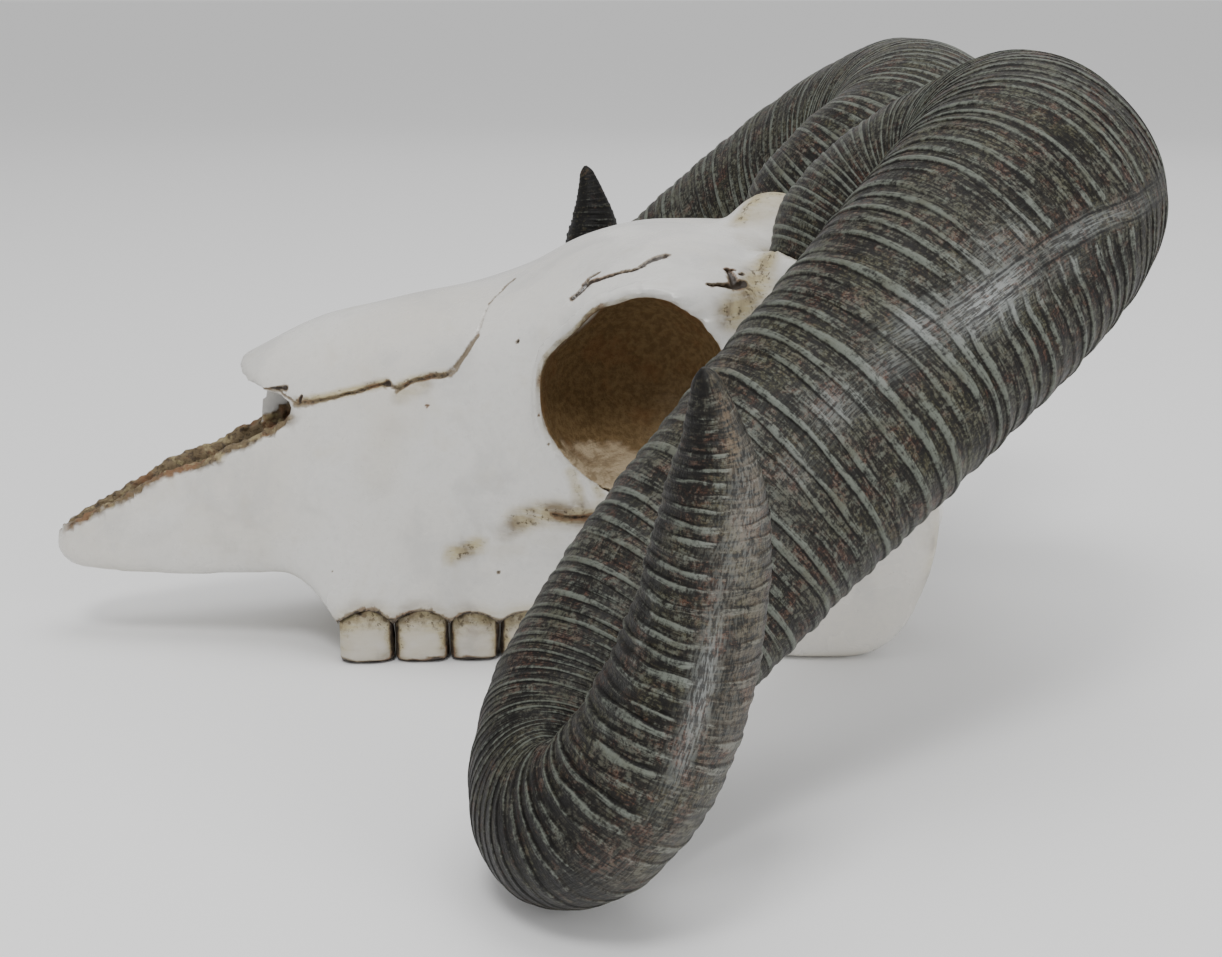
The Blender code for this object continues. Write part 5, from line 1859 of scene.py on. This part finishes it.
    def crack(self, shape: bpy.types.Object, rows: list[ToothRow]) -> None:
        """Cuts the cracks, dents and broken edges and stores what the finish reads.

        Args:
            shape: the skull.
            rows: the teeth, whose sockets get a dark edge.
        """
        points = coordinates(shape)
        laid = self.lay_cracks(points, normals(shape))
        for reach in (self.near_crack, self.near_crack * self.nearer):
            near = self.painted_edges(points, rows, reach)
            for path in laid.values():
                index = near_path(points, path, reach)
                near[index[to_path(points[index], path)[0] < reach]] = True
            refine(shape, near)
            points = coordinates(shape)
        skin = Skin(shape)
        move = self.carve(skin, laid)
        self.wash(skin, rows)
        raw = skin.paint["raw"]
        move += raw * self.broken_relief * mottle(8, 24, 9, points, 220)
        move += self.smooth_relief * mottle(9, 20, 4, points, 45) * (1 - raw)
        moved = points + skin.out * move[:, None]
        moved[:, 2] = np.maximum(moved[:, 2], 0.0)
        move_to(shape, moved)
        paint(shape, **{name: np.clip(value, 0, 1) for name, value in skin.paint.items()})

    def carve(self, skin: Skin, laid: dict[tuple[Side, int], np.ndarray]) -> np.ndarray:
        """Works out the cracks and dents, and paints the cracks.

        Args:
            skin: the bone, on which the cracks are painted.
            laid: paths of the cracks, by side and number.
        Returns:
            How far each corner moves outwards.
        """
        points = skin.points
        move = np.zeros(len(points))
        rough = mottle(5, 30, 40, points, 60) * 0.5
        slow = mottle(6, 24, 9, points, 60) * 0.5
        for (_, number), path in laid.items():
            crack = self.cracks[number]
            index = near_path(points, path, self.crack_reach)
            away, share = to_path(points[index], path)
            half = (crack.width[0] + (crack.width[1] - crack.width[0]) * share) / (2 * MM_PER_M)
            half = half * (1 + 0.35 * slow[index] + 0.12 * rough[index])
            fade = 1.0 if len(path) < 5 else band(share, -0.02, 0.06, 0.95, 1.02)
            groove = ease(1.25, 0.25, away / half)
            move[index] = np.minimum(move[index], -crack.depth / MM_PER_M * groove * fade)
            lip = crack.lips / MM_PER_M * bell(away / half, 1.9, 0.7) * (0.5 + rough[index])
            move[index] += np.where(groove < 0.05, lip, 0.0)
            tone = ease(1.7, 0.7, away / half) + 0.16 * np.exp(-away / (half * 2.2))
            skin.add("antique", np.clip(crack.tone * tone, 0, 1), index)
        for side in Side:
            for middle, reach, depth in self.dents:
                away = np.linalg.norm(points - np.array(middle) / MM_PER_M * side.mirror(), axis=1)
                move -= depth / MM_PER_M * bell(away, 0.0, reach / MM_PER_M)
        return move

    def wash(self, skin: Skin, rows: list[ToothRow]) -> None:
        """Paints the stains, the broken bone, the dark hollows and their pale floor.

        Args:
            skin: the bone.
            rows: the teeth, whose sockets get a dark edge.
        """
        wander = mottle(14, 16, 6, skin.points, 130)
        for side in Side:
            for patch in self.stains:
                away, _ = to_path(skin.points * side.mirror(), np.array(patch.path) / MM_PER_M)
                skin.add("stain", patch.tone * ease(1.7, 0.35, away * MM_PER_M / patch.reach))
            self.wash_orbit(skin, side, wander)
            gap = self.from_root(skin.points, side)
            skin.add("stain", 0.55 * ease(0.0062, 0.0010, gap + 0.0008 * wander))
            skin.add("antique", 0.55 * ease(0.0022, 0.0006, gap))
        self.wash_nose(skin)
        self.wash_sockets(skin, rows)
        self.wash_back(skin)

    def wash_orbit(self, skin: Skin, side: Side, wander: np.ndarray) -> None:
        """Paints an eye socket brown inside with a paler floor, and stains the bone round it.

        Args:
            skin: the bone.
            side: of the socket.
            wander: how the edges of the paint stray, at each corner.
        """
        own = self.orbit.own(skin.points, side)
        angle, share = self.orbit.share(own)
        back, up, out = own.T
        inside = (share < 1.06) & (out > -0.045) & (out < 0.02)
        inner = ease(1.035, 1.0, share) * ease(0.0012, -0.0006, out + 0.25 * (share - 1)) * inside
        brink = 0.0215 - 0.0040 * ease(-0.013, -0.024, back)
        low = ease(0.0007, -0.0007, up + brink + 0.0008 * wander) * inner
        pale = ease(-0.012, 0.008, back) * ease(0.002, -0.010, up) * 0.12 * inner
        notch = ease(0.62, 0.97, np.cos(angle - self.notch_at))
        feather = np.exp(-np.maximum(share - 1.0, 0) * self.orbit.radius / (0.0012 + 0.0022 * notch))
        upper = 0.30 + 0.30 * ease(-0.2, 0.7, np.cos(angle - self.stained_towards)) + 0.65 * notch
        outside = inside & (share > 0.99) & (out > -0.004)
        edged = np.where(outside, feather * upper * (1 + 0.25 * wander), 0.0)
        skin.add("hollow", inner)
        skin.add("tan", np.maximum(low * ease(-0.036, -0.020, out), pale))
        skin.add("antique", 0.34 * edged)
        skin.add("stain", 0.75 * edged)

    def wash_nose(self, skin: Skin) -> None:
        """Paints the inside of the nose, the lower part of its plate and its broken edge."""
        x, y, z = skin.points.T
        width, floor, roof = read_table(self.nose.cavity, x)
        in_nose = (x < -0.040) & (z > 0.027) & (z < roof + 0.0008) & (np.abs(y) < width + 0.0012)
        inward = ease(-0.25, 0.35, -skin.out[:, 1] * np.sign(y))
        level = ease(0.6, 0.9, skin.out[:, 2] * np.sign((floor + roof) / 2 - z))
        septum = (np.abs(y) < 0.0026) & (x > -0.1030) & (x < -0.0400) & (z > 0.050)
        skin.add("raw", in_nose * np.maximum(inward, level) * ~septum)
        uneven = waves(15, 12, 6, x * 260, z * 260)
        painted = smooth_curve(self.nose.septum_painted, x)
        skin.add("raw", septum * ease(0.0004, -0.0004, z - painted - 0.0006 * uneven))
        edge, _ = to_path(skin.points[:, [0, 2]], self.nose.broken_edge())
        rim = ease(0.0023, 0.0014, edge + 0.0005 * uneven)
        rim = rim * band(x, -0.166, -0.160, -0.090, -0.082) * ease(0.079, 0.074, z)
        skin.add("raw", rim * np.maximum(ease(0.05, 0.50, skin.out[:, 2]), 0.25))

    def wash_sockets(self, skin: Skin, rows: list[ToothRow]) -> None:
        """Paints the edges of the tooth sockets and the clefts between the teeth.

        Args:
            skin: the bone.
            rows: the teeth.
        """
        x, _, z = skin.points.T
        for row in rows:
            for index in range(len(row.arch)):
                middle, half = row.span(index)
                away = row.from_arch(skin.points, index)
                skin.add("antique", 0.9 * ease(0.0011, 0.0004, away))
                skin.add("stain", 0.50 * ease(0.0055, 0.0006, away))
                cleft = ease(0.0019, 0.0008, np.abs(x - middle - half)) * ease(0.0160, 0.0140, z)
                skin.add("antique", 0.9 * cleft * (away < FAR))

    def wash_back(self, skin: Skin) -> None:
        """Darkens with a soft brown the faces that look down near the floor and those that face back at the
        rear, and paints the inside of the foramen.
        """
        x, y, z = skin.points.T
        under = ease(0.40, 0.85, -skin.out[:, 2]) * ease(0.045, 0.012, np.abs(z - 0.02)) * 0.30
        back = ease(0.3, 0.8, skin.out[:, 0]) * ease(0.05, 0.085, x) * 0.28
        skin.add("stain", np.maximum(under, back) * (0.6 + 0.4 * mottle(12, 14, 3, skin.points, 60)))
        hole_x, _, hole_z = self.form.foramen_at
        depth, aside = (x - hole_x) / 0.016, np.hypot(y, z - hole_z) / 0.0095
        skin.add("raw", 0.9 * np.exp(-((depth**2 + aside**2) ** 2)) * (x < 0.1135))


# ---------------------------------------------------------------- studio


@dataclass(frozen=True)
class Studio:
    """Floor, soft light and the photograph's camera."""

    camera_at: tuple = (-0.0269, -0.6381, 0.2039)
    camera_to: tuple = (0.013, 0.0, 0.0485)
    lens: float = 59.13
    sensor: float = 36.0
    nearest: float = 0.01
    floor_size: float = 80.0
    floor_drop: float = 0.0004
    floor_color: Color = (0.90, 0.90, 0.90, 1.0)
    sky_color: Color = (1.0, 1.0, 1.0, 1.0)
    sky_strength: float = 0.72
    lights_to: tuple = (0.0, 0.0, 0.08)
    lights: tuple = (
        # name, place, size, power
        ("key_light", (-0.25, -0.90, 1.25), 0.35, 8.5), ("low_light", (0.85, -1.25, 0.45), 0.60, 7.5),
        ("top_light", (0.20, -0.10, 1.80), 1.20, 11.0), ("back_light", (0.50, 1.60, 1.20), 1.50, 3.0),
    )

    def build(self) -> None:
        """Adds the floor, the lights, the sky and the camera."""
        self.floor()
        for name, at, size, power in self.lights:
            lamp = bpy.data.lights.new(name, "AREA")
            lamp.size = size
            lamp.energy = power
            self.put(name, lamp, at, self.lights_to)
        self.sky()
        camera = bpy.data.cameras.new("photo_camera")
        camera.lens = self.lens
        camera.sensor_width = self.sensor
        camera.clip_start = self.nearest
        bpy.context.scene.camera = self.put("photo_camera", camera, self.camera_at, self.camera_to)

    def put(self, name: str, data: bpy.types.ID, at: tuple, to: tuple) -> bpy.types.Object:
        """Puts a lamp or a camera in the scene.

        Args:
            name: of its object.
            data: the lamp or the camera.
            at: its place.
            to: the place that it faces.
        Returns:
            The object.
        """
        placed = bpy.data.objects.new(name, data)
        placed.location = at
        placed.rotation_euler = (Vector(to) - Vector(at)).to_track_quat("-Z", "Y").to_euler()
        bpy.context.scene.collection.objects.link(placed)
        return placed

    def floor(self) -> None:
        """Adds a large plain floor just under the faces that lie on it."""
        deselect()
        bpy.ops.mesh.primitive_plane_add(size=self.floor_size, location=(0.0, 0.0, -self.floor_drop))
        floor = bpy.context.object
        floor.name = "studio_floor"
        n = Nodes("studio_floor")
        floor.data.materials.append(n.surface(Base_Color=self.floor_color, Roughness=0.9))

    def sky(self) -> None:
        """Adds an even white light from all sides."""
        world = bpy.data.worlds.new("studio")
        world.use_nodes = True
        background = world.node_tree.nodes["Background"]
        background.inputs["Color"].default_value = self.sky_color
        background.inputs["Strength"].default_value = self.sky_strength
        bpy.context.scene.world = world


# ---------------------------------------------------------------- assembly


def settle(piece: bpy.types.Object, stands_for: str | None) -> None:
    """Fixes a piece to the model, hides the CAD part that it takes the place of and logs its faces.

    Args:
        piece: the finished piece.
        stands_for: the CAD node that it takes the place of, if any.
    """
    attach(piece, "root")
    if stands_for:
        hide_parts(stands_for)
    LOG.info("%s: %d faces", piece.name, len(piece.data.polygons))


def main() -> None:
    """Builds each piece in order."""
    logging.basicConfig(level=logging.INFO, format="%(message)s")
    form, keratin, bone = HornForm(), HornFinish().material(), BoneFinish().material()
    for side in Side:
        horn = Horn(side, form, keratin).build()
        settle(horn, f"horn_{side.name.lower()}")
    cool, warm = (0.545, 0.520, 0.475, 1.0), (0.480, 0.440, 0.370, 1.0)
    enamel = BoneFinish("painted_teeth", cool=cool, warm=warm).material()
    rows = [ToothRow(side, enamel) for side in Side]
    settle(Skull(SkullForm(), Orbit(), Nose(), form, bone).build(rows), "skull")
    for row in rows:
        settle(row.build(), None)
    Studio().build()


if __name__ == "__main__":
    main()
